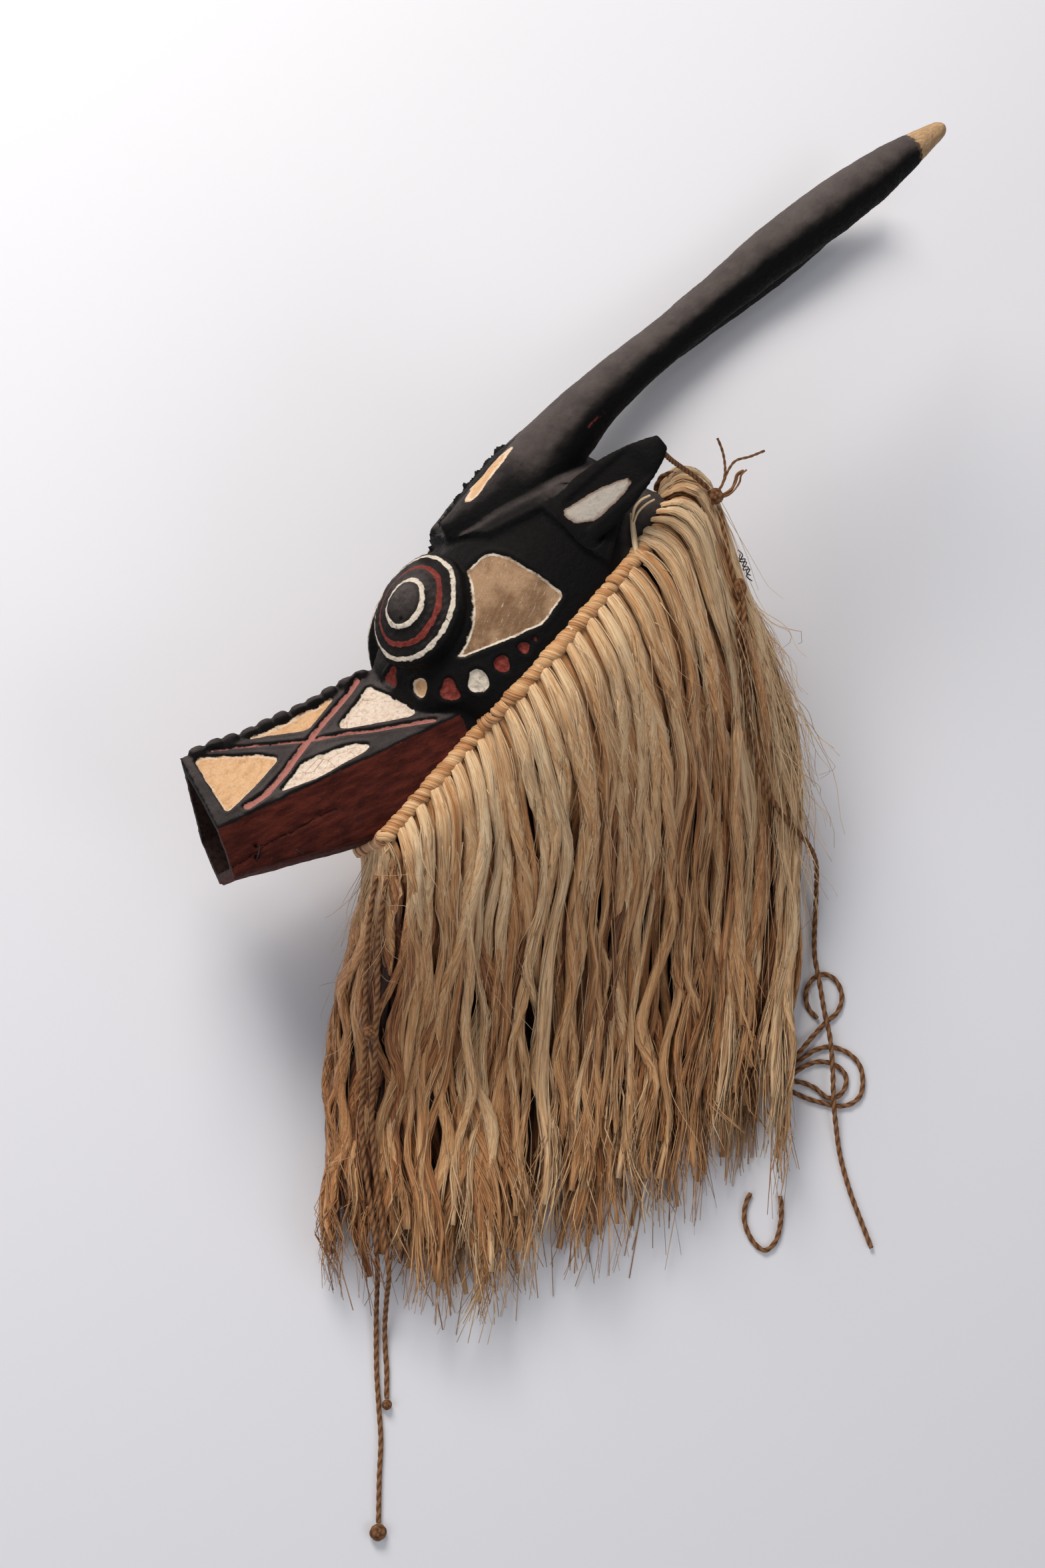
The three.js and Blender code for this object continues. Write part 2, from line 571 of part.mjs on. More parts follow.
// Point of the fringe's middle surface: u round the rim, v down its length
function fringeSurface(u, v) {
  const loop = (u + 1) % 1;
  const outRim = new THREE.Vector3().crossVectors(rimCurve.getTangentAt(loop), rimNormal);
  const start = rimCurve.getPointAt(loop).addScaledVector(rimNormal, FRINGE.drop)
    .addScaledVector(outRim, FRINGE.outset).applyMatrix4(headToLying);
  const end = hemCurve.getPointAt(loop);
  const fan = 1 - Math.max(0, 1 - v) ** FRINGE.fanPower;
  const arch = Math.sin(Math.PI * Math.min(1, v / FRINGE.archEnd) ** FRINGE.archPower);
  const nape = ease(Math.abs(loop - 0.5), FRINGE.napeHalf, 0);
  const flare = FRINGE.flare * Math.sin(Math.PI * Math.min(1, v / FRINGE.flareEnd));
  return new THREE.Vector3(
    THREE.MathUtils.lerp(start.x, end.x, fan) + nape * flare,
    THREE.MathUtils.lerp(start.y, end.y, Math.abs(v) ** FRINGE.fallPower) + nape * FRINGE.lift * arch,
    THREE.MathUtils.lerp(start.z, end.z, ease(v, 0, FRINGE.settle)),
  );
}

// Point of the fringe moved out from that surface by w times its thickness
function fringePoint(u, v, w) {
  const point = fringeSurface(u, v);
  const along = fringeSurface(u + FRINGE.probe, v).sub(fringeSurface(u - FRINGE.probe, v));
  const down = fringeSurface(u, v + FRINGE.stride).sub(fringeSurface(u, Math.max(0, v - FRINGE.stride)));
  point.addScaledVector(along.cross(down).normalize(), w * FRINGE.thick);
  return point.setZ(Math.max(point.z, -HALF_WIDTH));
}

// One hank, a six-sided strip of the fringe that waves with its neighbours
function hank(number) {
  const width = 1 / FRINGE.hanks;
  const middle = (number + 0.5) * width;
  const turn = FRINGE.turn * number;
  const length = 1 + FRINGE.ragged * Math.sin(turn);
  const rings = HANK_STATIONS.map(([place, plump, wide]) => {
    const v = place < 1 ? place : length;
    const loose = ease(v, 0, FRINGE.loose);
    const rise = FRINGE.ply / FRINGE.thick * Math.sin(turn + FRINGE.plyTurns * v) * loose;
    return HANK_SECTION.map(([a, b]) => {
      const u = middle + a * wide * FRINGE.gap * (width / 2);
      const wave = FRINGE.waveDown * v + 2 * Math.PI * FRINGE.waveRound * u;
      const sway = FRINGE.wave * Math.sin(wave) * loose;
      return fringePoint(u + sway, v, b * plump + rise);
    });
  });
  return loft(rings, FRINGE.point);
}

// Cord laced round the rim, under the hitches of the hanks
function headingCord() {
  const points = [];
  for (let i = 0; i < HEADING.steps; i += 1) {
    const u = i / HEADING.steps;
    const outward = new THREE.Vector3().crossVectors(rimNormal, rimCurve.getTangentAt(u)).negate();
    points.push(rimCurve.getPointAt(u).addScaledVector(outward, HEADING.outset)
      .addScaledVector(rimNormal, HEADING.drop));
  }
  return ringTube(points, HEADING.radius, HEADING.sides);
}

// Cord of round section along its route
function cord(route) {
  const path = new THREE.CatmullRomCurve3(route.map((p) => new THREE.Vector3(...p)), false, "centripetal");
  const section = new THREE.Shape();
  for (let i = 0; i < CORD.sides; i += 1) {
    const angle = (2 * Math.PI * i) / CORD.sides;
    const [x, y] = [CORD.diameter / 2 * Math.cos(angle), CORD.diameter / 2 * Math.sin(angle)];
    if (i === 0) section.moveTo(x, y);
    else section.lineTo(x, y);
  }
  section.closePath();
  const steps = Math.round(path.getLength() / (CORD.stepDiameters * CORD.diameter));
  return welded(new THREE.ExtrudeGeometry(section, { steps, bevelEnabled: false, extrudePath: path }));
}

function knot({ at, half }) {
  const geometry = welded(new THREE.IcosahedronGeometry(1, 1));
  geometry.scale(...half);
  geometry.translate(...at);
  return geometry;
}

const material = (color, roughness) => new THREE.MeshStandardMaterial({ color, roughness, metalness: 0 });
const paintedWood = material(0x2b2726, 0.75);
const fibre = material(0xc39a63, 0.8);
const cordFibre = material(0x6d4a33, 0.85);

const mask = new THREE.Group();
mask.position.set(-BOX_CENTRE.x, -BOX_CENTRE.y, HALF_WIDTH);

const head = new THREE.Group();
head.rotation.z = SNOUT_PITCH;
head.position.set(SNOUT_FOOT.x, SNOUT_FOOT.y, 0);
mask.add(head);

function addPiece(parent, name, geometry, finish) {
  const mesh = new THREE.Mesh(geometry, finish);
  mesh.name = name;
  parent.add(mesh);
  return mesh;
}

addPiece(head, "mask", toGeometry(maskBody()), paintedWood);
addPiece(head, "heading_cord", headingCord(), fibre);
for (let i = 0; i < FRINGE.hanks; i += 1) {
  addPiece(mask, `fringe_hank_${String(i + 1).padStart(2, "0")}`, hank(i), fibre);
}

// Cords and knots are laid out from the table up
const cords = new THREE.Group();
cords.position.z = -HALF_WIDTH;
mask.add(cords);
Object.entries(CORD_ROUTES).forEach(([name, route]) => addPiece(cords, name, cord(route), cordFibre));
Object.entries(KNOTS).forEach(([name, size]) => addPiece(cords, name, knot(size), cordFibre));

export default mask;
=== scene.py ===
"""Buffalo mask lying on its right side: fine carving, paint, fibre fringe and cords."""

import logging
import math
from dataclasses import dataclass, field
from enum import Enum, IntEnum

import bpy
import numpy as np
from mathutils import Matrix


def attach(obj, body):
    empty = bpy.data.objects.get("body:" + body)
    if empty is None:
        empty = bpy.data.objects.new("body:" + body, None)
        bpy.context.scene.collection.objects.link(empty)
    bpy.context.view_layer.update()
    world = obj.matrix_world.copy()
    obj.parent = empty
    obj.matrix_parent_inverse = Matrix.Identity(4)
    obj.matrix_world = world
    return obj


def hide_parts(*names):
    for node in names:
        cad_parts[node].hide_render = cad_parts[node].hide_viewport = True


Array = np.ndarray
LOG = logging.getLogger("buffalo_mask")
logging.basicConfig(level=logging.INFO, format="%(name)s: %(message)s")

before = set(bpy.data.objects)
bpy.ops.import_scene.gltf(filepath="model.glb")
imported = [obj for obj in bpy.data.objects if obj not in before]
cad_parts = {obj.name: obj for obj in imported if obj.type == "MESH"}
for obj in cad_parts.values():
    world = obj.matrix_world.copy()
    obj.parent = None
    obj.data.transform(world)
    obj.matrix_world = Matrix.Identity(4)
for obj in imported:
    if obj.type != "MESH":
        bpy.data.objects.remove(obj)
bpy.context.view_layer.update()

# Lying coordinates are millimetres with the middle plane between the horns at z = 0
BOX_CENTRE = np.array([21.1, 40.5])
HALF_WIDTH = 122.0
SNOUT_PITCH = math.radians(26.0)
SNOUT_FOOT = np.array([-194.3, -69.0])
MM = 0.001
# Distance in millimetres that stands for anywhere well off a painted area
FAR = 20.0


class Paint(Enum):
    """Painted areas of the carving, each kept as a distance in millimetres to its edge."""

    TAN = "paint_tan"
    CREAM = "paint_cream"
    WHITE = "paint_white"
    LEAF = "paint_leaf"
    PINK = "paint_pink"
    RED = "paint_red"
    MAROON = "paint_maroon"
    CHEEK = "paint_cheek"
    BARE = "paint_bare"
    INSIDE = "paint_inside"
    CRACK = "paint_crack"
    DRY = "paint_dry"
    # Where the grey dusting and the painted sheen are mostly left off
    CLEAN = "paint_clean"


# Small maths helpers
def ease(value: Array, low: float, high: float) -> Array:
    """Smooth step from 0 at low to 1 at high.

    Args:
        value: Values to shape.
        low: Value that gives 0.
        high: Value that gives 1.

    Returns:
        Shaped values from 0 to 1.
    """
    k = np.clip((np.asarray(value, float) - low) / (high - low), 0.0, 1.0)
    return k * k * (3.0 - 2.0 * k)


def lerp(a: Array, b: Array, k: Array) -> Array:
    """Mixes a and b by k."""
    return a + (b - a) * k


def unit(v: Array) -> Array:
    """Scales vectors along the last axis to length 1."""
    return v / np.maximum(np.linalg.norm(v, axis=-1, keepdims=True), 1e-12)


def smooth_line(pairs: tuple | list, s: Array) -> Array:
    """Height of a smooth line through (s, height) pairs, as a cubic with central slopes.

    Args:
        pairs: Points of the line, with rising s.
        s: Places to read it at.

    Returns:
        Heights at s, held level past both ends.
    """
    x, h = np.array(pairs, float).T
    slope = np.empty_like(h)
    slope[1:-1] = (h[2:] - h[:-2]) / (x[2:] - x[:-2])
    slope[0], slope[-1] = (h[1] - h[0]) / (x[1] - x[0]), (h[-1] - h[-2]) / (x[-1] - x[-2])
    s = np.clip(np.asarray(s, float), x[0], x[-1])
    i = np.clip(np.searchsorted(x, s, side="right") - 1, 0, len(x) - 2)
    span = x[i + 1] - x[i]
    k = (s - x[i]) / span
    return (
        h[i] * (1 + 2 * k) * (1 - k) ** 2
        + h[i + 1] * k * k * (3 - 2 * k)
        + span * (slope[i] * k * (1 - k) ** 2 - slope[i + 1] * k * k * (1 - k))
    )


def spline(points: tuple | list | Array, step: float, closed: bool = False) -> Array:
    """Centripetal Catmull-Rom curve through points, read at even steps.

    Args:
        points: Points that the curve passes through.
        step: Distance between the returned points.
        closed: Whether the curve comes back to its first point.

    Returns:
        Points along the curve.
    """
    p = np.array(points, float)
    if closed:
        p = np.vstack([p[-1], p, p[0], p[1]])
    else:
        p = np.vstack([2 * p[0] - p[1], p, 2 * p[-1] - p[-2]])
    knot = np.concatenate([[0], np.cumsum(np.sqrt(np.linalg.norm(np.diff(p, axis=0), axis=1)))])
    dense = []
    for i in range(1, len(p) - 2):
        t = np.linspace(knot[i], knot[i + 1], 24, endpoint=False)[:, None]
        k0, k1, k2, k3 = knot[i - 1 : i + 3]
        a1 = (k1 - t) / (k1 - k0) * p[i - 1] + (t - k0) / (k1 - k0) * p[i]
        a2 = (k2 - t) / (k2 - k1) * p[i] + (t - k1) / (k2 - k1) * p[i + 1]
        a3 = (k3 - t) / (k3 - k2) * p[i + 1] + (t - k2) / (k3 - k2) * p[i + 2]
        b1 = (k2 - t) / (k2 - k0) * a1 + (t - k0) / (k2 - k0) * a2
        b2 = (k3 - t) / (k3 - k1) * a2 + (t - k1) / (k3 - k1) * a3
        dense.append((k2 - t) / (k2 - k1) * b1 + (t - k1) / (k2 - k1) * b2)
    dense.append(p[-2][None, :])
    return evenly(np.vstack(dense), step)


def evenly(line: Array, step: float) -> Array:
    """Reads a polyline at even steps of about the given length.

    Args:
        line: Points of the polyline, one per row.
        step: Length wanted between two points.

    Returns:
        Points at even steps, with both ends kept.
    """
    run = np.concatenate([[0], np.cumsum(np.linalg.norm(np.diff(line, axis=0), axis=1))])
    count = max(2, int(round(run[-1] / step)) + 1)
    at = np.linspace(0, run[-1], count)
    return np.stack([np.interp(at, run, line[:, k]) for k in range(line.shape[1])], axis=1)


def head_to_lying(p: Array) -> Array:
    """Turns head coordinates (s, t, z) into lying coordinates, in millimetres.

    Args:
        p: Points as (s, t, z).

    Returns:
        Points as (x, y, z).
    """
    c, d = math.cos(SNOUT_PITCH), math.sin(SNOUT_PITCH)
    x = SNOUT_FOOT[0] + p[..., 0] * c - p[..., 1] * d
    y = SNOUT_FOOT[1] + p[..., 0] * d + p[..., 1] * c
    return np.stack([x, y, p[..., 2]], axis=-1)


def lying_to_row(p: Array) -> Array:
    """Turns lying coordinates in millimetres into the row frame in metres."""
    return (p + np.array([-BOX_CENTRE[0], -BOX_CENTRE[1], HALF_WIDTH])) * MM


def row_to_head(p: Array) -> Array:
    """Turns points of the row frame in metres into head coordinates in millimetres.

    Args:
        p: Points in metres.

    Returns:
        Points as (s, t, z), in millimetres.
    """
    c, d = math.cos(SNOUT_PITCH), math.sin(SNOUT_PITCH)
    x = p[..., 0] / MM + BOX_CENTRE[0] - SNOUT_FOOT[0]
    y = p[..., 1] / MM + BOX_CENTRE[1] - SNOUT_FOOT[1]
    return np.stack([x * c + y * d, -x * d + y * c, p[..., 2] / MM - HALF_WIDTH], axis=-1)


def segment_distance(points: Array, a: Array, b: Array) -> Array:
    """Distance from points to the straight piece from a to b.

    Args:
        points: Places, one per row.
        a: Start of the piece.
        b: Its end.

    Returns:
        Distance of each point.
    """
    edge = b - a
    k = np.clip(((points - a) @ edge) / (edge @ edge), 0, 1)
    return np.linalg.norm(points - a - k[:, None] * edge, axis=1)


def area_distance(points: Array, outline: tuple | Array) -> Array:
    """Signed distance from points to a closed outline, below zero inside it.

    Args:
        points: Places in the outline's plane, one per row.
        outline: Corners of the outline in order.

    Returns:
        Distance of each point in the same unit.
    """
    corners = np.array(outline, float)
    nearest = np.full(len(points), 1e9)
    inside = np.zeros(len(points), bool)
    for a, b in zip(corners, np.roll(corners, -1, axis=0)):
        nearest = np.minimum(nearest, segment_distance(points, a, b))
        crosses = (a[1] > points[:, 1]) != (b[1] > points[:, 1])
        rise = b[1] - a[1] if abs(b[1] - a[1]) >= 1e-9 else 1e-9
        at = a[0] + (points[:, 1] - a[1]) / rise * (b[0] - a[0])
        inside ^= crosses & (points[:, 0] < at)
    return np.where(inside, -nearest, nearest)


def softened(outline: tuple, cut: float = 2.6) -> Array:
    """Rounds the corners of a closed outline by cutting them twice.

    Args:
        outline: Corners in order.
        cut: Millimetres cut off each side of a corner.

    Returns:
        The outline with four points for each corner.
    """
    corners = np.array(outline, float)
    for length in (cut, cut * 0.45):
        ahead = np.roll(corners, -1, axis=0) - corners
        size = np.linalg.norm(ahead, axis=1, keepdims=True)
        step = ahead / size * np.minimum(length, 0.3 * size)
        corners = np.stack([corners + step, np.roll(corners, -1, axis=0) - step], axis=1).reshape(-1, 2)
    return corners


def nearest_on(on: Array, distances: list[Array]) -> Array:
    """Least of several distances to the points of a mask, far away for the other points.

    Args:
        on: Which of all points are of the mask.
        distances: Distances of those points alone.

    Returns:
        One value for each of all points.
    """
    best = np.full(len(on), FAR)
    best[on] = np.minimum.reduce([best[on], *distances])
    return best


def line_distance(points: Array, line: tuple) -> Array:
    """Distance from points to an open line of straight pieces."""
    corners = np.array(line, float)
    return np.minimum.reduce([segment_distance(points, a, b) for a, b in zip(corners[:-1], corners[1:])])


def ripples(p: Array, size: float, seed: int, octaves: int = 3) -> Array:
    """Smooth unevenness from -1 to 1, a sum of sine waves in random directions.

    Args:
        p: Points in millimetres.
        size: Length of the widest waves in millimetres.
        seed: Seed of the directions.
        octaves: How many times the waves are halved.

    Returns:
        One value per point.
    """
    rng = np.random.default_rng(seed)
    total = np.zeros(p.shape[:-1])
    for octave in range(octaves):
        wave = 0.0
        for _ in range(5):
            way = unit(rng.normal(size=p.shape[-1])) * (2 * math.pi * 2**octave / size)
            wave = wave + np.sin(p @ way + rng.uniform(0, 2 * math.pi))
        total += wave / 5 * 0.6**octave
    return total / sum(0.6**k for k in range(octaves)) * 1.6


def folded(p: Array) -> Array:
    """Points brought to the near side of the middle plane."""
    return np.concatenate([p[:, :2], np.abs(p[:, 2:])], axis=1)


def keep_above(points: Array, level: float) -> None:
    """Lifts points that lie under a level up to it, in place."""
    points[..., 2] = np.maximum(points[..., 2], level)


# Mesh helpers
def grid_faces(rows: int, columns: int, closed: bool) -> Array:
    """Quads of a grid of points, closed round its columns if asked.

    Args:
        rows: Rows of points.
        columns: Points in each row.
        closed: Whether the last column joins the first.

    Returns:
        Vertex numbers as (row, column, corner).
    """
    wide = columns if closed else columns - 1
    i, j = np.meshgrid(np.arange(rows - 1), np.arange(wide), indexing="ij")
    k = (j + 1) % columns
    return np.stack([i * columns + j, i * columns + k, (i + 1) * columns + k, (i + 1) * columns + j], axis=-1)


def end_fans(rows: int, columns: int) -> tuple[Array, Array]:
    """Triangles that close both ends of a grid, round two hubs that come after its points.

    Args:
        rows: Rings of points.
        columns: Points in each ring.

    Returns:
        Triangles of the first end and of the last.
    """
    j = np.arange(columns)
    k = (j + 1) % columns
    base = (rows - 1) * columns
    low = np.stack([np.full(columns, rows * columns), k, j], axis=1)
    high = np.stack([np.full(columns, rows * columns + 1), base + j, base + k], axis=1)
    return low, high


def build_mesh(name: str, points: Array, faces: list[Array]) -> bpy.types.Object:
    """Makes an object from points in the row frame and arrays of faces.

    Args:
        name: Name of the object.
        points: Vertices in metres.
        faces: Arrays of triangles or quads.

    Returns:
        The new object, at the origin.
    """
    mesh = bpy.data.meshes.new(name)
    mesh.vertices.add(len(points))
    mesh.vertices.foreach_set("co", np.ascontiguousarray(points, np.float32).ravel())
    flat = np.concatenate([f.reshape(-1) for f in faces]).astype(np.int32)
    sizes = np.concatenate([np.full(f.reshape(-1, f.shape[-1]).shape[0], f.shape[-1]) for f in faces])
    starts = np.concatenate([[0], np.cumsum(sizes)[:-1]]).astype(np.int32)
    mesh.loops.add(len(flat))
    mesh.loops.foreach_set("vertex_index", flat)
    mesh.polygons.add(len(sizes))
    mesh.polygons.foreach_set("loop_start", starts)
    mesh.polygons.foreach_set("loop_total", sizes.astype(np.int32))
    mesh.update(calc_edges=True)
    obj = bpy.data.objects.new(name, mesh)
    bpy.context.scene.collection.objects.link(obj)
    return obj


def set_float(mesh: bpy.types.Mesh, name: str, values: Array) -> None:
    """Keeps one number per vertex as a named attribute."""
    layer = mesh.attributes.new(name, "FLOAT", "POINT")
    layer.data.foreach_set("value", np.ascontiguousarray(values, np.float32))


def shade(obj: bpy.types.Object, sharp_degrees: float | None = None) -> None:
    """Smooths an object's shading, leaving edges sharper than the angle hard.

    Args:
        obj: The mesh object.
        sharp_degrees: Angle over which an edge stays hard, or None for all smooth.
    """
    obj.data.polygons.foreach_set("use_smooth", np.ones(len(obj.data.polygons), bool))
    if sharp_degrees is not None:
        obj.data.set_sharp_from_angle(angle=math.radians(sharp_degrees))
    obj.data.update()


@dataclass
class Solid:
    """Closed surface under construction, in head coordinates and millimetres."""

    points: Array
    faces: list[Array]

    @classmethod
    def through(cls, rings: Array) -> "Solid":
        """Closes a row of rings into a solid with faces outward.

        Args:
            rings: Points as (ring, point, 3).

        Returns:
            The solid, its ends closed by fans.
        """
        rows, columns = rings.shape[:2]
        hubs = rings[[0, -1]].mean(axis=1)
        points = np.vstack([rings.reshape(-1, 3), hubs])
        low, high = end_fans(rows, columns)
        sides = grid_faces(rows, columns, True).reshape(-1, 4)
        halves = np.vstack([sides[:, [0, 1, 2]], sides[:, [0, 2, 3]], low, high])
        corners = points[halves] - points.mean(axis=0)
        volume = np.einsum("ij,ij->i", corners[:, 0], np.cross(corners[:, 1], corners[:, 2])).sum()
        if volume < 0:
            low, high, sides = low[:, ::-1], high[:, ::-1], sides[:, ::-1]
        return cls(points, [low, high, sides])

    def mirrored(self) -> "Solid":
        """Gives the same solid on the other side of the middle plane."""
        return Solid(self.points * np.array([1, 1, -1.0]), [f[:, ::-1] for f in self.faces])

    def build(self, name: str) -> bpy.types.Object:
        """Makes a mesh object of it in the row frame."""
        return build_mesh(name, lying_to_row(head_to_lying(self.points)), self.faces)


def gather(solids: list[Solid]) -> Solid:
    """Puts several solids into one, without joining their surfaces.

    Args:
        solids: Solids to put together.

    Returns:
        One solid of all their points and faces.
    """
    faces, start = [], 0
    for solid in solids:
        faces += [f + start for f in solid.faces]
        start += len(solid.points)
    return Solid(np.vstack([s.points for s in solids]), faces)


def slab(outline: list | Array, low: float, high: float) -> Solid:
    """Prism across the mask from an outline of (s, t) points.

    Args:
        outline: Corners as (s, t), in order.
        low: Lower z.
        high: Upper z.

    Returns:
        The closed prism.
    """
    flat = np.array(outline, float)
    rings = np.stack([np.column_stack([flat, np.full(len(flat), z)]) for z in (low, high)])
    return Solid.through(rings)


def bake(obj: bpy.types.Object) -> None:
    """Applies an object's modifiers to its mesh.

    Args:
        obj: Mesh object, which is left without modifiers.
    """
    graph = bpy.context.evaluated_depsgraph_get()
    mesh = bpy.data.meshes.new_from_object(obj.evaluated_get(graph))
    obj.modifiers.clear()
    obj.data = mesh


def cut_by(obj: bpy.types.Object, cutter: bpy.types.Object) -> None:
    """Cuts an object with another closed one, which is then removed.

    Args:
        obj: Mesh object to cut.
        cutter: Closed mesh object.
    """
    step = obj.modifiers.new("cut", "BOOLEAN")
    step.operation = "DIFFERENCE"
    step.solver = "MANIFOLD"
    step.object = cutter
    bake(obj)
    bpy.data.objects.remove(cutter)


def read_all(owner: bpy.types.bpy_prop_collection, key: str, kind: type, width: int) -> Array:
    """Reads one property of all items of a collection, one row per item.

    Args:
        owner: Collection of a mesh.
        key: Name of the property.
        kind: Type of its numbers.
        width: Numbers for each item.

    Returns:
        The numbers, one row per item.
    """
    values = np.empty(len(owner) * width, kind)
    owner.foreach_get(key, values)
    return values.reshape(-1, width)


def read_points(mesh: bpy.types.Mesh) -> Array:
    """Reads a mesh's vertices."""
    return read_all(mesh.vertices, "co", np.float32, 3).astype(float)


def read_normals(mesh: bpy.types.Mesh) -> Array:
    """Reads a mesh's vertex normals."""
    return read_all(mesh.vertex_normals, "vector", np.float32, 3).astype(float)


def write_points(mesh: bpy.types.Mesh, points: Array) -> None:
    """Moves a mesh's vertices."""
    mesh.vertices.foreach_set("co", points.astype(np.float32).ravel())
    mesh.update()


def count_triangles(mesh: bpy.types.Mesh) -> int:
    """Number of triangles that a mesh's faces make."""
    return int((read_all(mesh.polygons, "loop_total", np.int32, 1) - 2).sum())


def relax(points: Array, edges: Array, weight: Array, rounds: int) -> Array:
    """Moves each point towards the mean of its neighbours, by its own weight.

    Args:
        points: Vertices.
        edges: Pairs of vertex numbers.
        weight: Share of the way that each vertex moves in one round.
        rounds: Number of rounds.

    Returns:
        The moved vertices.
    """
    a, b = edges.T
    count = np.bincount(a, minlength=len(points)) + np.bincount(b, minlength=len(points))
    for _ in range(rounds):
        total = np.empty_like(points)
        for k in range(3):
            total[:, k] = np.bincount(a, points[b, k], len(points))
            total[:, k] += np.bincount(b, points[a, k], len(points))
        points = points + (total / count[:, None] - points) * weight[:, None]
    return points


# Carving, with every size in millimetres
@dataclass(frozen=True)
class Snout:
    """Open box tube with a roof that falls from a ridge to the eaves."""

    ridge: float = 92.0
    ridge_dip: float = 4.5
    ridge_length: float = 146.0
    eaves: float = 38.0
    eaves_half: float = 50.0
    flare: float = 0.055
    floor: float = 2.0
    floor_fall: float = 0.18
    floor_half: float = 44.0
    corner: float = 8.0
    back: float = 200.0
    wall: float = 8.0
    mouth_lean: float = 0.08
    # Shares of the inset that lower the ridge and the eaves, and reach of the bevel at the lower corners
    ridge_inset: float = 1.35
    eaves_inset: float = 0.35
    bevel: float = 1.6

    def ridge_at(self, s: Array) -> Array:
        """Height of the ridge."""
        return self.ridge - self.ridge_dip * np.sin(np.pi * np.clip(s / self.ridge_length, 0, 1))

    def eaves_half_at(self, s: Array) -> Array:
        """Half width at the eaves."""
        return self.eaves_half + self.flare * s

    def floor_at(self, s: Array) -> Array:
        """Height of the floor."""
        return self.floor - self.floor_fall * s

    def ring(self, s: float, inset: float) -> Array:
        """Outline at s, moved in by inset, as nine points.

        Args:
            s: Place along the snout.
            inset: Millimetres inward.

        Returns:
            Nine points in head coordinates.
        """
        eaves = self.eaves_half_at(s) - inset
        half = self.floor_half + self.flare * s - inset
        floor = self.floor_at(s) + inset
        c = self.corner - inset / 2
        side = [
            (0, self.ridge_at(s) - self.ridge_inset * inset),
            (eaves, self.eaves - self.eaves_inset * inset),
            (half + 1, floor + self.bevel * c),
            (half - 0.3 * c, floor + 0.3 * c),
            (half - self.bevel * c, floor),
        ]
        outline = np.array(side + [(-z, t) for z, t in side[:0:-1]])
        lean = self.mouth_lean * (outline[:, 1] - self.ridge) if s < 1 else 0.0
        return np.column_stack([s + np.zeros(len(outline)) + lean, outline[:, 1], outline[:, 0]])

    def side_half_at(self, s: Array, t: Array) -> Array:
        """Half width of the side walls at height t.

        Args:
            s: Places along the snout.
            t: Heights.

        Returns:
            Half width at each place.
        """
        foot = self.floor_at(s) + self.bevel * self.corner
        up = np.clip((t - foot) / (self.eaves - foot), 0, 1)
        return lerp(self.floor_half + self.flare * s + 1, self.eaves_half_at(s), up)

    def tube(self, inset: float, first: float, last: float, rings: int = 40) -> Solid:
        """Solid snout between two places."""
        return Solid.through(np.stack([self.ring(s, inset) for s in np.linspace(first, last, rings)]))

    def roof_place(self, p: Array) -> tuple[Array, Array]:
        """Place on the roof, as (s, distance down from the ridge), and the height above its plane.

        Args:
            p: Points in head coordinates.

        Returns:
            Places on the roof, and heights above its plane.
        """
        ridge, half = self.ridge_at(p[:, 0]), self.eaves_half_at(p[:, 0])
        slope = np.hypot(ridge - self.eaves, half)
        down = ((ridge - p[:, 1]) * (ridge - self.eaves) + np.abs(p[:, 2]) * half) / slope
        above = ((p[:, 1] - ridge) * half + np.abs(p[:, 2]) * (ridge - self.eaves)) / slope
        return np.stack([p[:, 0], down], axis=1), above


@dataclass(frozen=True)
class Comb:
    """Row of rounded knobs along the ridge of the snout."""

    first: float = 6.0
    pitch: float = 12.4
    count: int = 11
    half: float = 4.6
    height: float = 3.9
    deep: float = 11.0
    gap: float = 1.1
    # Powers that press the ball square round the ridge and along it
    round_power: float = 0.45
    long_power: float = 0.75

    def bumps(self, snout: Snout) -> list[Solid]:
        """One knob per bump, a ball pressed square, with a notch before the next one.

        Args:
            snout: Snout whose ridge carries the knobs.

        Returns:
            The knobs.
        """
        solids = []
        for i in range(self.count):
            s = self.first + self.pitch * (i + 0.5) + 0.5 * math.sin(2.3 * i)
            long, tall = (self.pitch - self.gap) / 2 + 0.3 * math.sin(3.1 * i), self.deep / 2
            a = np.linspace(0.06, np.pi - 0.06, 18)[:, None]
            b = np.linspace(0, 2 * np.pi, 24, endpoint=False)[None, :]
            swell = np.sin(a) ** self.round_power
            x = s + long * np.sign(np.cos(a)) * np.abs(np.cos(a)) ** self.long_power + 0 * b
            top = snout.ridge_at(s) + self.height - tall + 0.5 * math.sin(1.7 * i)
            y = top + tall * swell * np.cos(b)
            z = (self.half + 0.5 * math.sin(1.1 * i)) * swell * np.sin(b)
            solids.append(Solid.through(np.stack([x, y, z], axis=-1)))
        return solids


@dataclass(frozen=True)
class Rim:
    """Lower edge of the hood, a plane tilted to the snout."""

    front: float = 91.5
    back: float = 379.0
    front_t: float = -13.3
    tilt: float = math.radians(22.8)
    chin: float = 12.0
    tuck: float = 2.0

    def at(self, s: Array) -> Array:
        """Height of the rim."""
        return self.front_t + (s - self.front) * math.tan(self.tilt)

    def cutter(self, reach: float = 300.0) -> Solid:
        """Everything under the rim.

        Args:
            reach: How far the block goes down and to both sides.

        Returns:
            The block.
        """
        s0 = self.front - self.chin
        c, d = math.cos(self.tilt), math.sin(self.tilt)
        start = np.array([s0, self.at(s0)])
        end = start + 1.4 * reach * np.array([c, d])
        down = reach * np.array([d, -c])
        return slab([start, start + down, end + down, end], -reach, reach)


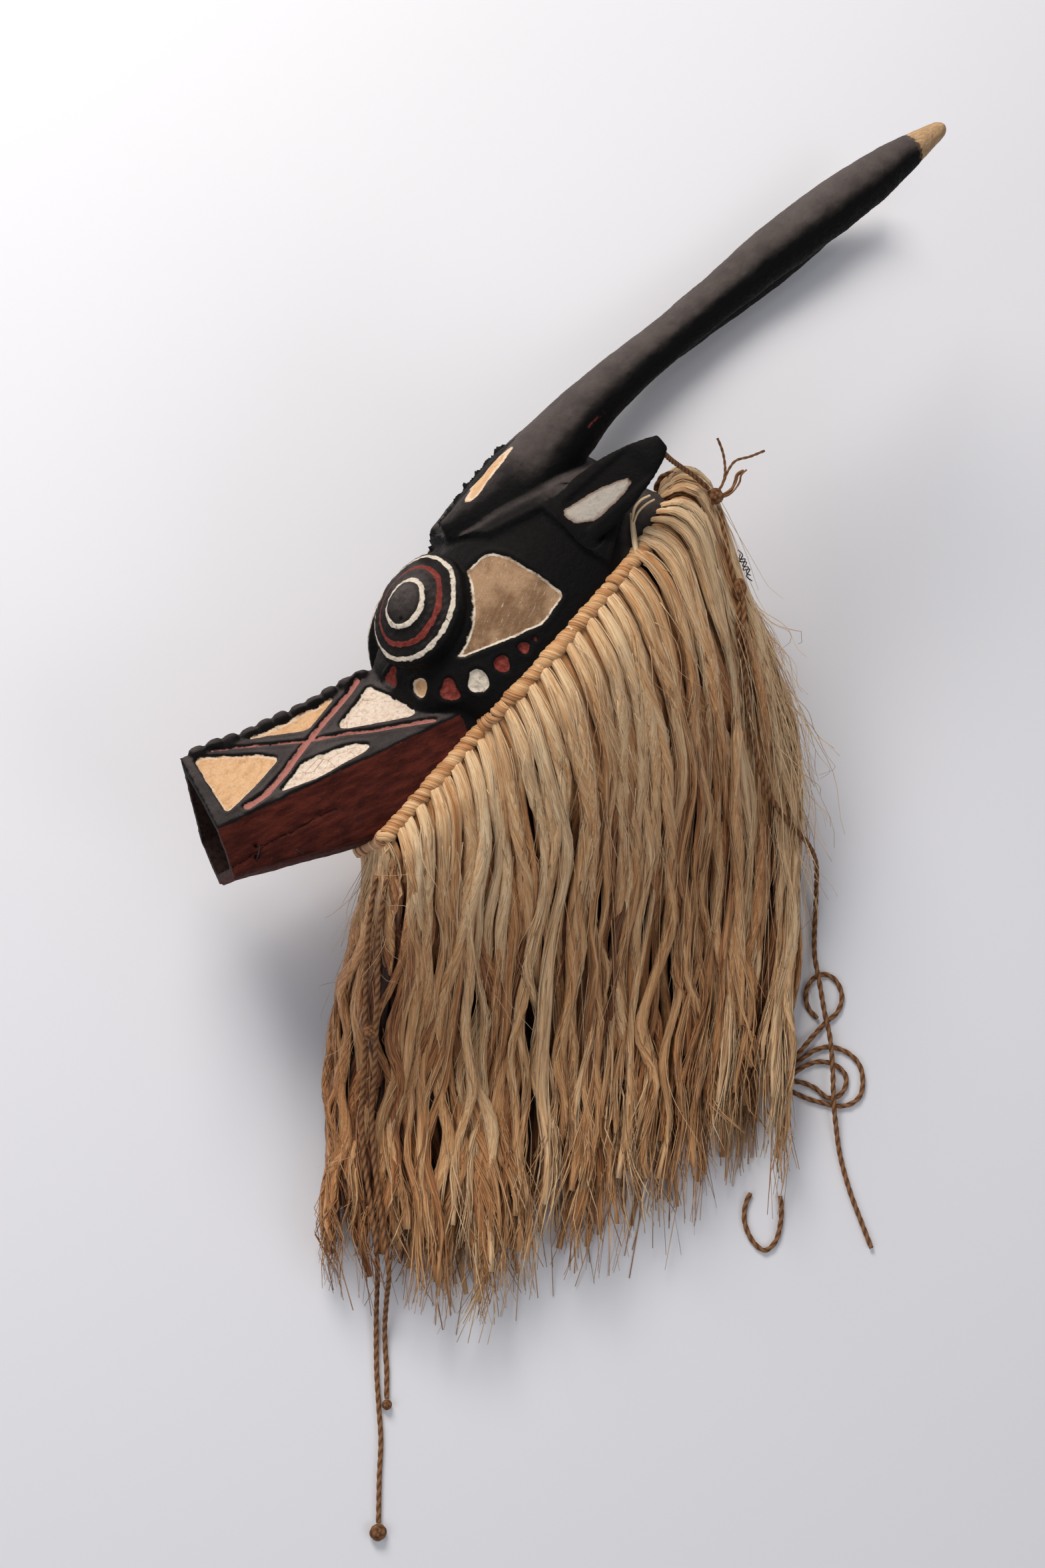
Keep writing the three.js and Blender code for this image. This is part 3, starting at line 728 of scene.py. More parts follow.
@dataclass(frozen=True)
class Hood:
    """Rounded cap over the head, with a high crest and a skirt down to the rim."""

    nose: float = 140.0
    waist: float = 250.0
    tail: float = 382.0
    half: float = 95.0
    wall: float = 9.0
    skirt_power: float = 2.4
    tail_power: float = 2.4
    # Stretch over which the nape closes down, and the waist's height over the rim at its two ends
    nape: tuple = (290.0, 375.0)
    over_rim: tuple = (25.0, 3.0)
    least_waist: float = 55.0
    # Depth below the waist, and the stretch over which it grows
    below: tuple = (20.0, 75.0)
    below_span: tuple = (165.0, 215.0)
    # Fullness of the section, the stretch over which it grows, and what the nape takes off it
    power: tuple = (1.35, 2.3)
    power_span: tuple = (150.0, 200.0)
    nape_power: float = 0.5
    crest: tuple = (
        (140, 84), (150, 97), (180, 122), (228, 154), (260, 173), (300, 188), (322, 180), (344, 157),
        (363, 131), (382, 108),
    )

    def size(self, s: Array, rim: Rim) -> dict[str, Array]:
        """Half width, top, waist, depth below the waist and fullness at s.

        Args:
            s: Places along the hood.
            rim: Rim that the waist follows.

        Returns:
            The sizes by name.
        """
        s = np.asarray(s, float)
        ahead = ((self.waist - s) / (self.waist - self.nose)) ** 2
        behind = np.maximum(0, (s - self.waist) / (self.tail - self.waist)) ** self.tail_power
        nape = ease(s, *self.nape)
        return {
            "half": self.half * np.sqrt(np.maximum(0, 1 - np.where(s < self.waist, ahead, behind))),
            "top": smooth_line(self.crest, s),
            "waist": np.maximum(rim.at(s) + lerp(*self.over_rim, nape), self.least_waist),
            "below": lerp(*self.below, ease(s, *self.below_span)),
            "power": lerp(*self.power, ease(s, *self.power_span)) - self.nape_power * nape,
        }

    def form(self, rim: Rim, swell: float, around: int = 160, steps: int = 120) -> Solid:
        """Hood grown outward by swell.

        Args:
            rim: Rim that the waist follows.
            swell: Millimetres outward, below zero for the hollow.
            around: Points in each ring.
            steps: Steps between the rings.

        Returns:
            The closed hood.
        """
        first, last = self.nose + 3 - swell, self.tail - 1 + swell
        s = lerp(first, last, 0.5 - 0.5 * np.cos(np.pi * np.linspace(0, 1, steps + 1)))[:, None]
        size = self.size(np.clip(s, self.nose + 2, self.tail - 2), rim)
        angle = (2 * np.pi * (np.arange(around) + 0.5) / around)[None, :]
        up, out = np.cos(angle), np.sin(angle)
        power = np.where(up > 0, size["power"], self.skirt_power)
        reach = (np.abs(up) ** power + np.abs(out) ** power) ** (-1 / power)
        height = np.where(up > 0, np.maximum(size["top"] - size["waist"] + swell, 6), size["below"])
        z = out * reach * np.maximum(size["half"] + swell, 2)
        return Solid.through(np.stack([s + 0 * z, size["waist"] + up * reach * height, z], axis=-1))

    def depth(self, p: Array, rim: Rim) -> Array:
        """Rough distance outside the hood's surface, below zero inside it.

        Args:
            p: Points in head coordinates.
            rim: Rim that the waist follows.

        Returns:
            Millimetres for each point.
        """
        size = self.size(np.clip(p[:, 0], self.nose + 2, self.tail - 2), rim)
        up = p[:, 1] - size["waist"]
        power = np.where(up > 0, size["power"], self.skirt_power)
        height = np.where(up > 0, np.maximum(size["top"] - size["waist"], 6), size["below"])
        half = np.maximum(size["half"], 2)
        level = ((np.abs(up) / height) ** power + (np.abs(p[:, 2]) / half) ** power) ** (1 / power)
        beyond = np.maximum(self.nose - p[:, 0], p[:, 0] - self.tail)
        return np.maximum((level - 1) * np.minimum(height, half), beyond)


@dataclass(frozen=True)
class Block:
    """Raised ground that carries horns and ears, with a V-shaped lower edge."""

    proud: float = 4.0
    far_front: float = 230.0
    outline: tuple = (
        (219, 230), (219, 150), (242, 134), (279, 135), (291, 99), (302, 84), (330, 112), (330, 230),
    )

    def ground(self, p: Array) -> Array:
        """Distance outside the raised ground, which starts further back on the far side."""
        near = area_distance(p[:, :2], self.outline)
        return np.where(p[:, 2] < 0, np.maximum(near, self.far_front - p[:, 0]), near)


@dataclass(frozen=True)
class Eye:
    """Goggle eye, a stepped cone whose axis looks forward, up and out."""

    centre: tuple = (180.9, 111.3, 52.0)
    far_back: tuple = (4.0, -1.5, 0.0)
    axis: tuple = (-0.58, 0.587, 0.56)
    # Radius and height of the turned section, from the sunken foot to the rim of the pupil
    section: tuple = (
        (36.5, -26), (40.3, -0.5), (40.5, 0.8), (39.8, 2.2), (38.2, 2.7), (37.8, 3.1), (35.6, 5.6),
        (34.6, 6.0), (30.4, 6.7), (29.4, 7.3), (26.6, 9.9), (25.4, 10.3), (20.6, 11.2), (19.2, 12.0),
        (16.4, 15.0), (14.8, 15.2), (14.0, 14.6), (13.2, 14.9),
    )
    pupil: float = 13.0
    dome: float = 3.2

    def basis(self) -> Array:
        """Axis and two directions across it, as rows.

        Returns:
            Three unit rows.
        """
        axis = unit(np.array(self.axis))
        across = unit(np.cross(axis, [0, 0, 1.0]))
        return np.stack([axis, across, np.cross(axis, across)])

    def uneven(self, angle: Array) -> Array:
        """Share by which the hand-cut rings stray from a circle."""
        return 1 + 0.016 * np.sin(2 * angle + 0.6) + 0.01 * np.sin(3 * angle + 2) + 0.007 * np.sin(7 * angle)

    def form(self, far: bool = False, sides: int = 140) -> Solid:
        """Turned solid with a terrace at each ring and a domed pupil.

        Args:
            far: Whether it is the far eye, which sits a little further back.
            sides: Points in each ring.

        Returns:
            The closed eye, on the near side.
        """
        brim = self.section[-1][1]
        dome = [(self.pupil * math.cos(a), brim + self.dome * math.sin(a)) for a in (0.3, 0.7, 1.1, 1.5)]
        basis = self.basis()
        angle = np.linspace(0, 2 * np.pi, sides, endpoint=False)
        wheel = np.cos(angle)[:, None] * basis[1] + np.sin(angle)[:, None] * basis[2]
        wheel = wheel * self.uneven(angle)[:, None]
        centre = np.array(self.centre) + far * np.array(self.far_back)
        rings = [centre + basis[0] * h + wheel * r for r, h in self.section + tuple(dome)]
        return Solid.through(np.stack(rings))

    def place(self, p: Array) -> tuple[Array, Array]:
        """Distance from the axis and height along it, for the nearer eye.

        Args:
            p: Points in head coordinates.

        Returns:
            Radius and height of each point.
        """
        basis = self.basis()
        off = folded(p - (p[:, 2:] < 0) * np.array(self.far_back)) - np.array(self.centre)
        height, a, b = off @ basis[0], off @ basis[1], off @ basis[2]
        return np.hypot(a, b) / self.uneven(np.arctan2(b, a)), height


@dataclass(frozen=True)
class Horn:
    """Horn swept along a curve of (s, t, z, half height), with a soft arris on its outer side."""

    line: tuple = (
        (221, 153, 42, 7), (244, 151, 48, 18), (284, 159, 58, 25), (312, 173, 66, 23),
        (350, 189, 77, 18), (404, 204, 89, 15), (443, 214, 96, 15), (485, 225, 102, 17),
        (522, 233, 105, 18), (572, 243, 101, 17), (615, 252, 92, 12), (646, 258, 84, 6),
    )
    far_root: tuple = ((232, 158, 42, 6), (252, 155, 49, 18))
    squareness: float = 1.7

    def frames(self, step: float = 6.0, far: bool = False) -> tuple[Array, ...]:
        """Centres, directions out and up, and half heights at even steps.

        Args:
            step: Length between two places.
            far: Whether it is the far horn, whose root differs.

        Returns:
            Four arrays with one row per place.
        """
        line = self.far_root + self.line[2:] if far else self.line
        centre = spline([q[:3] for q in line], step)
        along = unit(np.gradient(centre, axis=0))
        out = unit(np.array([0, 0, 1.0]) - along[:, 2:3] * along)
        up = np.cross(out, along)
        half = smooth_line([(q[0], q[3]) for q in line], centre[:, 0])
        return centre, out, up, half

    def form(self, far: bool = False, sides: int = 48) -> Solid:
        """Closed horn with a rounded end.

        Args:
            far: Whether it is the far horn, whose root differs.
            sides: Points in each ring.

        Returns:
            The closed horn, on the near side.
        """
        centre, out, up, half = self.frames(far=far)
        angle = 2 * np.pi * np.arange(sides) / sides
        c, d = np.cos(angle), np.sin(angle)
        reach = (np.abs(c) ** self.squareness + np.abs(d) ** self.squareness) ** (-1 / self.squareness)
        spread = (c * reach)[None, :, None] * out[:, None] + (d * reach)[None, :, None] * up[:, None]
        rings = centre[:, None] + half[:, None, None] * spread
        tip = half[-1] * unit(centre[-1] - centre[-2])
        turn = np.array([0.4, 0.8, 1.2, 1.5])[:, None, None]
        end = centre[-1] + tip * np.sin(turn) + (rings[-1] - centre[-1]) * np.cos(turn)
        return Solid.through(np.concatenate([rings, end]))

    def place(self, p: Array) -> tuple[Array, Array]:
        """Run along the nearer horn and rough distance outside it.

        Args:
            p: Points in head coordinates.

        Returns:
            The place as s, and millimetres outside the horn.
        """
        centre, out, up, half = self.frames(4.0)
        near_side = folded(p)
        best, index = np.full(len(p), 1e9), np.zeros(len(p), int)
        for i, c in enumerate(centre):
            gap = ((near_side - c) ** 2).sum(axis=1)
            near = gap < best
            best[near], index[near] = gap[near], i
        off = near_side - centre[index]
        a, b = (off * out[index]).sum(axis=1), (off * up[index]).sum(axis=1)
        level = (np.abs(a) ** self.squareness + np.abs(b) ** self.squareness) ** (1 / self.squareness)
        ends = np.sqrt(np.maximum(best - a * a - b * b, 0))
        return centre[index, 0], np.maximum(level - half[index], ends - 8)


@dataclass(frozen=True)
class Ear:
    """Leaf-shaped ear with a shallow scoop on its outer face."""

    root: tuple = (288.0, 119.0, 84.0)
    tip: tuple = (366.0, 142.0, 117.0)
    across: tuple = (0.08, 1.0, -0.1)
    half: float = 22.0
    tip_half: float = 6.0
    thick: float = 6.5
    thinning: float = 0.5

    def basis(self) -> Array:
        """Directions along, across and out of the ear, as rows.

        Returns:
            Three unit rows.
        """
        along = unit(np.array(self.tip) - np.array(self.root))
        across = np.array(self.across)
        across = unit(across - along * (along @ across))
        return np.stack([along, across, np.cross(along, across)])

    def leaf(self, grow: float, lift: float, thick: float, first: float, last: float) -> Solid:
        """Leaf swept from first to last along the ear, moved outward by lift.

        Args:
            grow: Factor on the width.
            lift: Millimetres outward.
            thick: Half thickness at the root.
            first: Start as a share of the ear's length.
            last: End as such a share.

        Returns:
            The closed leaf, on the near side.
        """
        basis, root, tip = self.basis(), np.array(self.root), np.array(self.tip)
        x = np.linspace(0, 1, 40)[:, None]
        angle = (2 * np.pi * (np.arange(40) + 0.5) / 40)[None, :]
        half, depth = grow * lerp(self.half, self.tip_half, x**3), thick * (1 - self.thinning * x)
        centre = root + (tip - root) * lerp(first, last, x) + basis[2] * lift
        rings = centre[:, None] + (half * np.cos(angle))[..., None] * basis[1]
        return Solid.through(rings + (depth * np.sin(angle))[..., None] * basis[2])

    def place(self, p: Array) -> Array:
        """Offsets along, across and out of the nearer ear, from its root."""
        return (folded(p) - np.array(self.root)) @ self.basis().T


@dataclass(frozen=True)
class PaintPlan:
    """Painted and recessed areas of the carving, in millimetres on the surfaces they lie on."""

    # Roof, as (s, distance down from the ridge)
    roof_tan: tuple = (
        ((7, 6), (15, 7), (46, 24), (57, 36), (36, 50), (6, 65)),
        ((44, 6), (113, 6), (84, 23), (58, 10)),
    )
    roof_cream: tuple = (
        ((136, 13), (143, 32), (152, 57), (148, 62), (104, 39), (102, 34)),
        ((43, 67), (68, 50), (99, 54), (113, 65), (109, 69), (72, 71)),
    )
    # Grooves of the cross, as a line and the half width at its two ends
    cross: tuple = (
        (((21, 5), (36, 9), (76, 31), (104, 45), (144, 69), (157, 75)), 0.5, 1.7),
        (((132, 4), (106, 19), (79, 33), (55, 52), (36, 63), (20, 67)), 1.9, 2.6),
    )
    # Dots beside the eye, as centre (s, t, z), half size, turn, pointedness and tone
    dots: tuple = (
        ((150, 80, 23), 6.4, 0.9, 0.2, Paint.RED), ((160, 64.5, 49), 6.8, 0.4, 0.07, Paint.TAN),
        ((173, 54, 67), 7.2, 1.12, 0.17, Paint.RED), ((191, 51, 79), 7.6, 1.3, 0.05, Paint.WHITE),
        ((209, 54.5, 87), 5.4, 0.8, 0.1, Paint.RED), ((226, 58, 92), 3.9, 0.4, 0.08, Paint.RED),
        ((235, 60, 93), 1.5, 0.0, 0.0, Paint.RED),
    )
    # Cheek, as (s, t)
    cheek: tuple = (
        (234, 126), (244, 118), (256, 97), (266, 79), (246, 67), (225, 67), (187, 70), (185, 76),
        (205, 106), (217, 121),
    )
    # Radius round the eye's axis that the cheek leaves free
    cheek_gap: float = 42.5
    # Ear, as (distance along it, distance across it)
    leaf: tuple = (
        (6.5, 8.5), (30, 5.5), (54, -2.5), (57.5, -5.5), (52, -8.5), (36, -10.5), (19, -11), (7, -3),
    )
    # Rings round the eye, as inner and outer radius
    white_rings: tuple = ((15.0, 18.2), (35.3, 37.7))
    red_ring: tuple = (26.0, 29.2)
    # White spot on the bridge of the nose, as its centre and half sizes
    bridge: tuple = ((217, 146, -6), (2.6, 4.2, 4.5))
    # Top of the dark red sides of the snout, its far end, and start of the bare tips of the horns
    maroon_top: float = 36.5
    maroon_end: float = 175.0
    bare_start: float = 620.0
    # Stripe on the brow and flecks on the horn, as (s, t)
    stripe: tuple = ((238, 163), (252, 173.5), (268, 181), (286, 184.5), (271, 176), (257, 169), (245, 162))
    flecks: tuple = ((331, 173), (337, 175), (342, 177), (346, 178))
    # Side of the snout, as (s, t): cracks and holes of a staple. The first crack is the widest
    cracks: tuple = (
        ((-6, 9), (14, 12.6), (31, 14), (51, 15), (74, 15.5)),
        ((92, 17.5), (105, 16)), ((111, 15), (119, 15)), ((116, 24), (131, 27)), ((10, 31), (27, 33)),
    )
    holes: tuple = ((14, 15.5), (11.5, 8.5))
    crack_thinner: float = 0.55


@dataclass(frozen=True)
class Relief:
    """Depths and heights of the fine carving, in millimetres."""

    panel: float = 2.0
    dot: float = 2.2
    burr: float = 0.6
    block_edge: float = 0.9
    scoop: float = 2.8
    crack: float = 1.0
    hole: float = 3.2
    pupil: float = 0.8
    bands: float = 0.3
    crust: float = 4.2
    # Tool marks, wide and narrow, and the share of them that a sunk panel loses
    wide_marks: float = 0.35
    narrow_marks: float = 0.2
    panel_calm: float = 0.7


@dataclass
class Carving:
    """Carved mask: forms joined into one skin, then relief and paint worked out on it."""

    snout: Snout = Snout()
    comb: Comb = Comb()
    rim: Rim = Rim()
    hood: Hood = Hood()
    block: Block = Block()
    eye: Eye = Eye()
    horn: Horn = Horn()
    ear: Ear = Ear()
    plan: PaintPlan = PaintPlan()
    depths: Relief = Relief()
    grain: float = 1.45
    triangles: int = 165000
    sharp_degrees: float = 42.0

    def make(self) -> bpy.types.Object:
        """Builds the finished mask, hollow and trimmed.

        Returns:
            The mesh object, with its painted areas kept on it.
        """
        skin = self.outer()
        self.carve(skin)
        thin = skin.modifiers.new("thin", "DECIMATE")
        thin.ratio = min(1.0, self.triangles / count_triangles(skin.data))
        bake(skin)
        room = gather([
            self.hood.form(self.rim, -self.hood.wall, 64, 48),
            self.snout.tube(self.snout.wall, -20, self.snout.back - 6, 12),
        ]).build("room")
        for cutter in (room, self.rim.cutter().build("under_rim"), self.table().build("table")):
            cut_by(skin, cutter)
        self.paint(skin.data)
        shade(skin, self.sharp_degrees)
        LOG.info("mask: %d triangles", count_triangles(skin.data))
        return skin

    def table(self, reach: float = 300.0) -> Solid:
        """Everything under the table, which leaves the flat spot of the lower horn."""
        outline = [(-reach, -reach), (3 * reach, -reach), (3 * reach, 2 * reach), (-reach, 2 * reach)]
        return slab(outline, -2 * HALF_WIDTH, -HALF_WIDTH)

    def outer(self) -> bpy.types.Object:
        """Outside of the mask as one closed skin of even grain.

        Returns:
            The mesh object of the skin.
        """
        pieces = [self.snout.tube(0, 0, self.snout.back), self.hood.form(self.rim, 0)]
        leaf = self.ear.leaf(1, 0, self.ear.thick, 0, 1)
        pieces += [self.eye.form(), self.horn.form(), leaf, leaf.mirrored()]
        pieces += [self.eye.form(far=True).mirrored(), self.horn.form(far=True).mirrored()]
        skin = gather(pieces + self.comb.bumps(self.snout)).build("carved_mask")
        step = skin.modifiers.new("grain", "REMESH")
        step.mode = "VOXEL"
        step.voxel_size = self.grain * MM
        bake(skin)
        return skin

    def carve(self, skin: bpy.types.Object) -> None:
        """Softens the joints of the forms, then sinks and raises the relief.

        Args:
            skin: Mesh object of the outside, changed in place.
        """
        mesh = skin.data
        edges = read_all(mesh.edges, "vertices", np.int32, 2)
        points = read_points(mesh)
        head = row_to_head(points)
        hood = self.off_hood(head)
        _, horn = self.horn.place(head)
        radius, _ = self.eye.place(head)
        joint = ease(np.abs(hood) + np.abs(horn), 16, 4) * ease(radius, 38, 44)
        knobs = (head[:, 1] > self.snout.ridge - 6) & (head[:, 0] < 146) & (np.abs(head[:, 2]) < 9)
        points = relax(points, edges, np.where(knobs, 0.2, 0.45), 2)
        points = relax(points, edges, 0.8 * joint, 24)
        write_points(mesh, points)
        shift = self.relief(row_to_head(points)) * MM
        write_points(mesh, points + read_normals(mesh) * shift[:, None])

    def off_hood(self, p: Array) -> Array:
        """Rough distance outside the hood."""
        return self.hood.depth(p, self.rim)

    def roof(self, p: Array) -> tuple[Array, Array]:
        """Place on the roof and a mask of the points that lie on it.

        Args:
            p: Points in head coordinates.

        Returns:
            Places as (s, distance down from the ridge), and the mask.
        """
        place, above = self.snout.roof_place(p)
        on = (np.abs(above) < 5) & (p[:, 1] > 33) & (self.off_hood(p) > -2) & (p[:, 0] > -6)
        return place, on

    @staticmethod
    def near_area(place: Array, on: Array, outlines: tuple) -> Array:
        """Distance to the nearest of several outlines, far away off their surface."""
        return nearest_on(on, [area_distance(place[on], softened(outline)) for outline in outlines])

    def cross_distance(self, place: Array, on: Array) -> Array:
        """Distance outside the two crossed grooves.

        Args:
            place: Places on the roof.
            on: Which of them lie on it.

        Returns:
            Millimetres, below zero in a groove.
        """
        picked = place[on] + 0.4 * np.sin(place[on][:, ::-1] / 7)
        found = []
        for line, first, last in self.plan.cross:
            run = (picked[:, 0] - line[0][0]) / (line[-1][0] - line[0][0])
            found.append(line_distance(picked, line) - lerp(first, last, np.clip(run, 0, 1)))
        return nearest_on(on, found)

    def dot_distance(self, p: Array, tones: tuple) -> Array:
        """Distance outside the rounded dots of the given tones.

        Args:
            p: Points in head coordinates.
            tones: Paints of the dots.

        Returns:
            Millimetres, below zero in a dot.
        """
        best = np.full(len(p), FAR)
        near_side = folded(p)
        for centre, size, turn, point, tone in self.plan.dots:
            if tone in tones:
                off = near_side - np.array(centre, float)
                angle = np.arctan2(off[:, 1], off[:, 0] * 0.8 + off[:, 2] * 0.6)
                shape = 1 + point * np.cos(3 * (angle - turn)) + 0.05 * np.cos(2 * angle + 3 * turn)
                best = np.minimum(best, np.linalg.norm(off, axis=1) - size * shape)
        return best

    def cheek_distance(self, p: Array) -> Array:
        """Distance outside the recessed cheek.

        Args:
            p: Points in head coordinates.

        Returns:
            Millimetres, below zero in the cheek.
        """
        on = (np.abs(self.off_hood(p)) < 7) & (np.abs(p[:, 2]) > 50)
        beside_eye = self.plan.cheek_gap - self.eye.place(p)[0]
        return np.maximum(self.near_area(p[:, :2], on, (self.plan.cheek,)), beside_eye)

    def leaf_distance(self, p: Array) -> Array:
        """Distance outside the leaf painted in the ear.

        Args:
            p: Points in head coordinates.

        Returns:
            Millimetres, below zero in the leaf.
        """
        place = self.ear.place(p)
        on = (np.abs(place[:, 2]) < 12) & (place[:, 2] > -1)
        return self.near_area(place[:, :2], on, (self.plan.leaf,))

    def crack_distance(self, p: Array) -> Array:
        """Distance to the cracks in the side of the snout.

        Args:
            p: Points in head coordinates.

        Returns:
            Millimetres for each point, far away off the side.
        """
        wander = 0.5 * np.sin(p[:, 0] / 5.3) + 0.35 * np.sin(p[:, 0] / 1.9)
        place = np.stack([p[:, 0], p[:, 1] + wander], axis=1)
        side = (p[:, 2] > 20) & (p[:, 1] < 36) & (p[:, 0] < 135)
        gaps = [line_distance(place[side], line) for line in self.plan.cracks]
        return nearest_on(side, gaps[:1] + [gap + self.plan.crack_thinner for gap in gaps[1:]])

    def relief(self, p: Array) -> Array:
        """Height of the carved relief over the plain forms.

        Args:
            p: Points in head coordinates.

        Returns:
            Millimetres outward.
        """
        cut = self.depths
        place, on = self.roof(p)
        panels = self.near_area(place, on, self.plan.roof_tan + self.plan.roof_cream)
        cross = self.cross_distance(place, on)
        sunk = np.minimum.reduce([panels, cross, self.cheek_distance(p)])
        dots = self.dot_distance(p, (Paint.RED, Paint.TAN, Paint.WHITE))
        height = -cut.panel * ease(-sunk, -0.8, 1.0) - cut.dot * ease(-dots, -0.8, 1.2)
        beside = np.minimum(sunk, dots)
        height += cut.burr * ease(beside, 0.6, 1.8) * ease(beside, 5.5, 2.5)
        hood = self.off_hood(p)
        radius, along = self.eye.place(p)
        ground = self.block.ground(p)
        away = ease(radius, 38, 42) * (np.abs(p[:, 2]) > 1)
        lift = np.clip(self.block.proud - np.maximum(hood, 0), 0, self.block.proud) * (hood > -6)
        height += lift * ease(-ground, -1.2, 1.6) * away
        edge = ease(np.abs(ground + 1.0), 5.0, 1.0) * (np.abs(hood) < 7) * (p[:, 1] < 150) * (p[:, 0] < 312)
        height += cut.block_edge * edge * away
        ear = self.ear.place(p)
        half = self.ear.half * 0.62
        scoop = ease(np.abs(ear[:, 1]) / half, 1.05, 0.75) * ease(ear[:, 0], 8, 16) * ease(ear[:, 0], 76, 62)
        height -= cut.scoop * scoop * ((ear[:, 2] > 1) & (ear[:, 2] < 9))
        height -= cut.crack * ease(self.crack_distance(p), 1.2, 0.1)
        for hole in self.plan.holes:
            gap = np.linalg.norm((p[:, :2] - np.array(hole)) / np.array([1.2, 1.5]), axis=1)
            height -= cut.hole * ease(gap, 1.5, 0.6) * (p[:, 2] > 20)
        pupil = ease(radius, 12.5, 9) * (along > 12)
        height += cut.pupil * pupil * ripples(p, 6.5, 3)
        bands = ease(np.abs(radius - 27), 13, 12) * (along > 2)
        height += cut.bands * bands * ripples(p, 5, 8, 2)
        crust = (np.abs(p[:, 2]) < 7 + 3 * ripples(p, 14, 5)) & (p[:, 1] > 110)
        crust &= (p[:, 0] > 186) & (p[:, 0] < 330)
        height += crust * np.maximum(0, ripples(p, 8, 6) - 0.1) * cut.crust
        worked = 1 - cut.panel_calm * ease(-sunk, 0, 1.5)
        marks = cut.wide_marks * ripples(p, 34, 1, 2) + cut.narrow_marks * ripples(p, 9, 2, 2)
        return height + marks * worked

    def paint(self, mesh: bpy.types.Mesh) -> None:
        """Keeps the distance to the edge of every painted area on the mesh.

        Args:
            mesh: Mesh of the finished carving.
        """
        p = row_to_head(read_points(mesh))
        place, on = self.roof(p)
        hood = self.off_hood(p)
        radius, along = self.eye.place(p)
        eye = along > -3
        ring = lambda size: np.where(eye, np.maximum(size[0] - radius, radius - size[1]), FAR)
        horn_s, off_horn = self.horn.place(p)
        stripe_on = (np.abs(p[:, 2] - 62) < 22) & (p[:, 1] > 158)
        stripe = self.near_area(p[:, :2], stripe_on, (self.plan.stripe,))
        flecks_on = (p[:, 2] > 80) & (p[:, 0] > 300)
        flecks = nearest_on(flecks_on, [line_distance(p[flecks_on][:, :2], self.plan.flecks) - 1.0])
        spot, half = np.array(self.plan.bridge)
        bridge = np.linalg.norm((p - spot) / half, axis=1) * 3 - 3
        above = self.snout.roof_place(p)[1]
        within = (above < -6) & (np.abs(p[:, 2]) < self.snout.side_half_at(p[:, 0], p[:, 1]) - 4)
        within &= (p[:, 1] > self.snout.floor_at(p[:, 0]) + 4) & (p[:, 0] < 150)
        inside = np.where((hood < -4.5) | within, -5.0, 5.0)
        snout_side = (hood > -3) & (p[:, 0] < self.plan.maroon_end)
        horn = 8.0 - 16.0 * ease(horn_s, 262, 318) * (np.abs(off_horn) < 12)
        horn = np.where(eye & (radius < 40), 4.2 - 3.6 * ease(radius, 14, 12), horn)
        tail = np.minimum(horn, 322 - p[:, 0] + 0.35 * (p[:, 1] - 98))
        areas = {
            Paint.TAN: np.minimum.reduce([
                self.near_area(place, on, self.plan.roof_tan), self.dot_distance(p, (Paint.TAN,)), stripe,
            ]),
            Paint.CREAM: self.near_area(place, on, self.plan.roof_cream),
            Paint.WHITE: np.minimum.reduce([
                self.dot_distance(p, (Paint.WHITE,)), bridge, *map(ring, self.plan.white_rings),
            ]),
            Paint.LEAF: self.leaf_distance(p),
            Paint.PINK: self.cross_distance(place, on),
            Paint.RED: np.minimum.reduce([
                self.dot_distance(p, (Paint.RED,)), ring(self.plan.red_ring), flecks,
            ]),
            Paint.MAROON: np.where(snout_side, p[:, 1] - self.plan.maroon_top, FAR),
            Paint.CHEEK: self.cheek_distance(p),
            Paint.BARE: self.plan.bare_start - horn_s + np.where(np.abs(p[:, 2]) > 70, 0, 40),
            Paint.INSIDE: inside,
            Paint.CRACK: self.crack_distance(p) - 0.5,
            Paint.CLEAN: np.maximum(196 - p[:, 0], 6 - off_horn),
            Paint.DRY: np.where((np.abs(hood) < 7) & (radius > 40), tail, horn),
        }
        for kind, values in areas.items():
            set_float(mesh, kind.value, np.clip(values, -FAR, FAR))


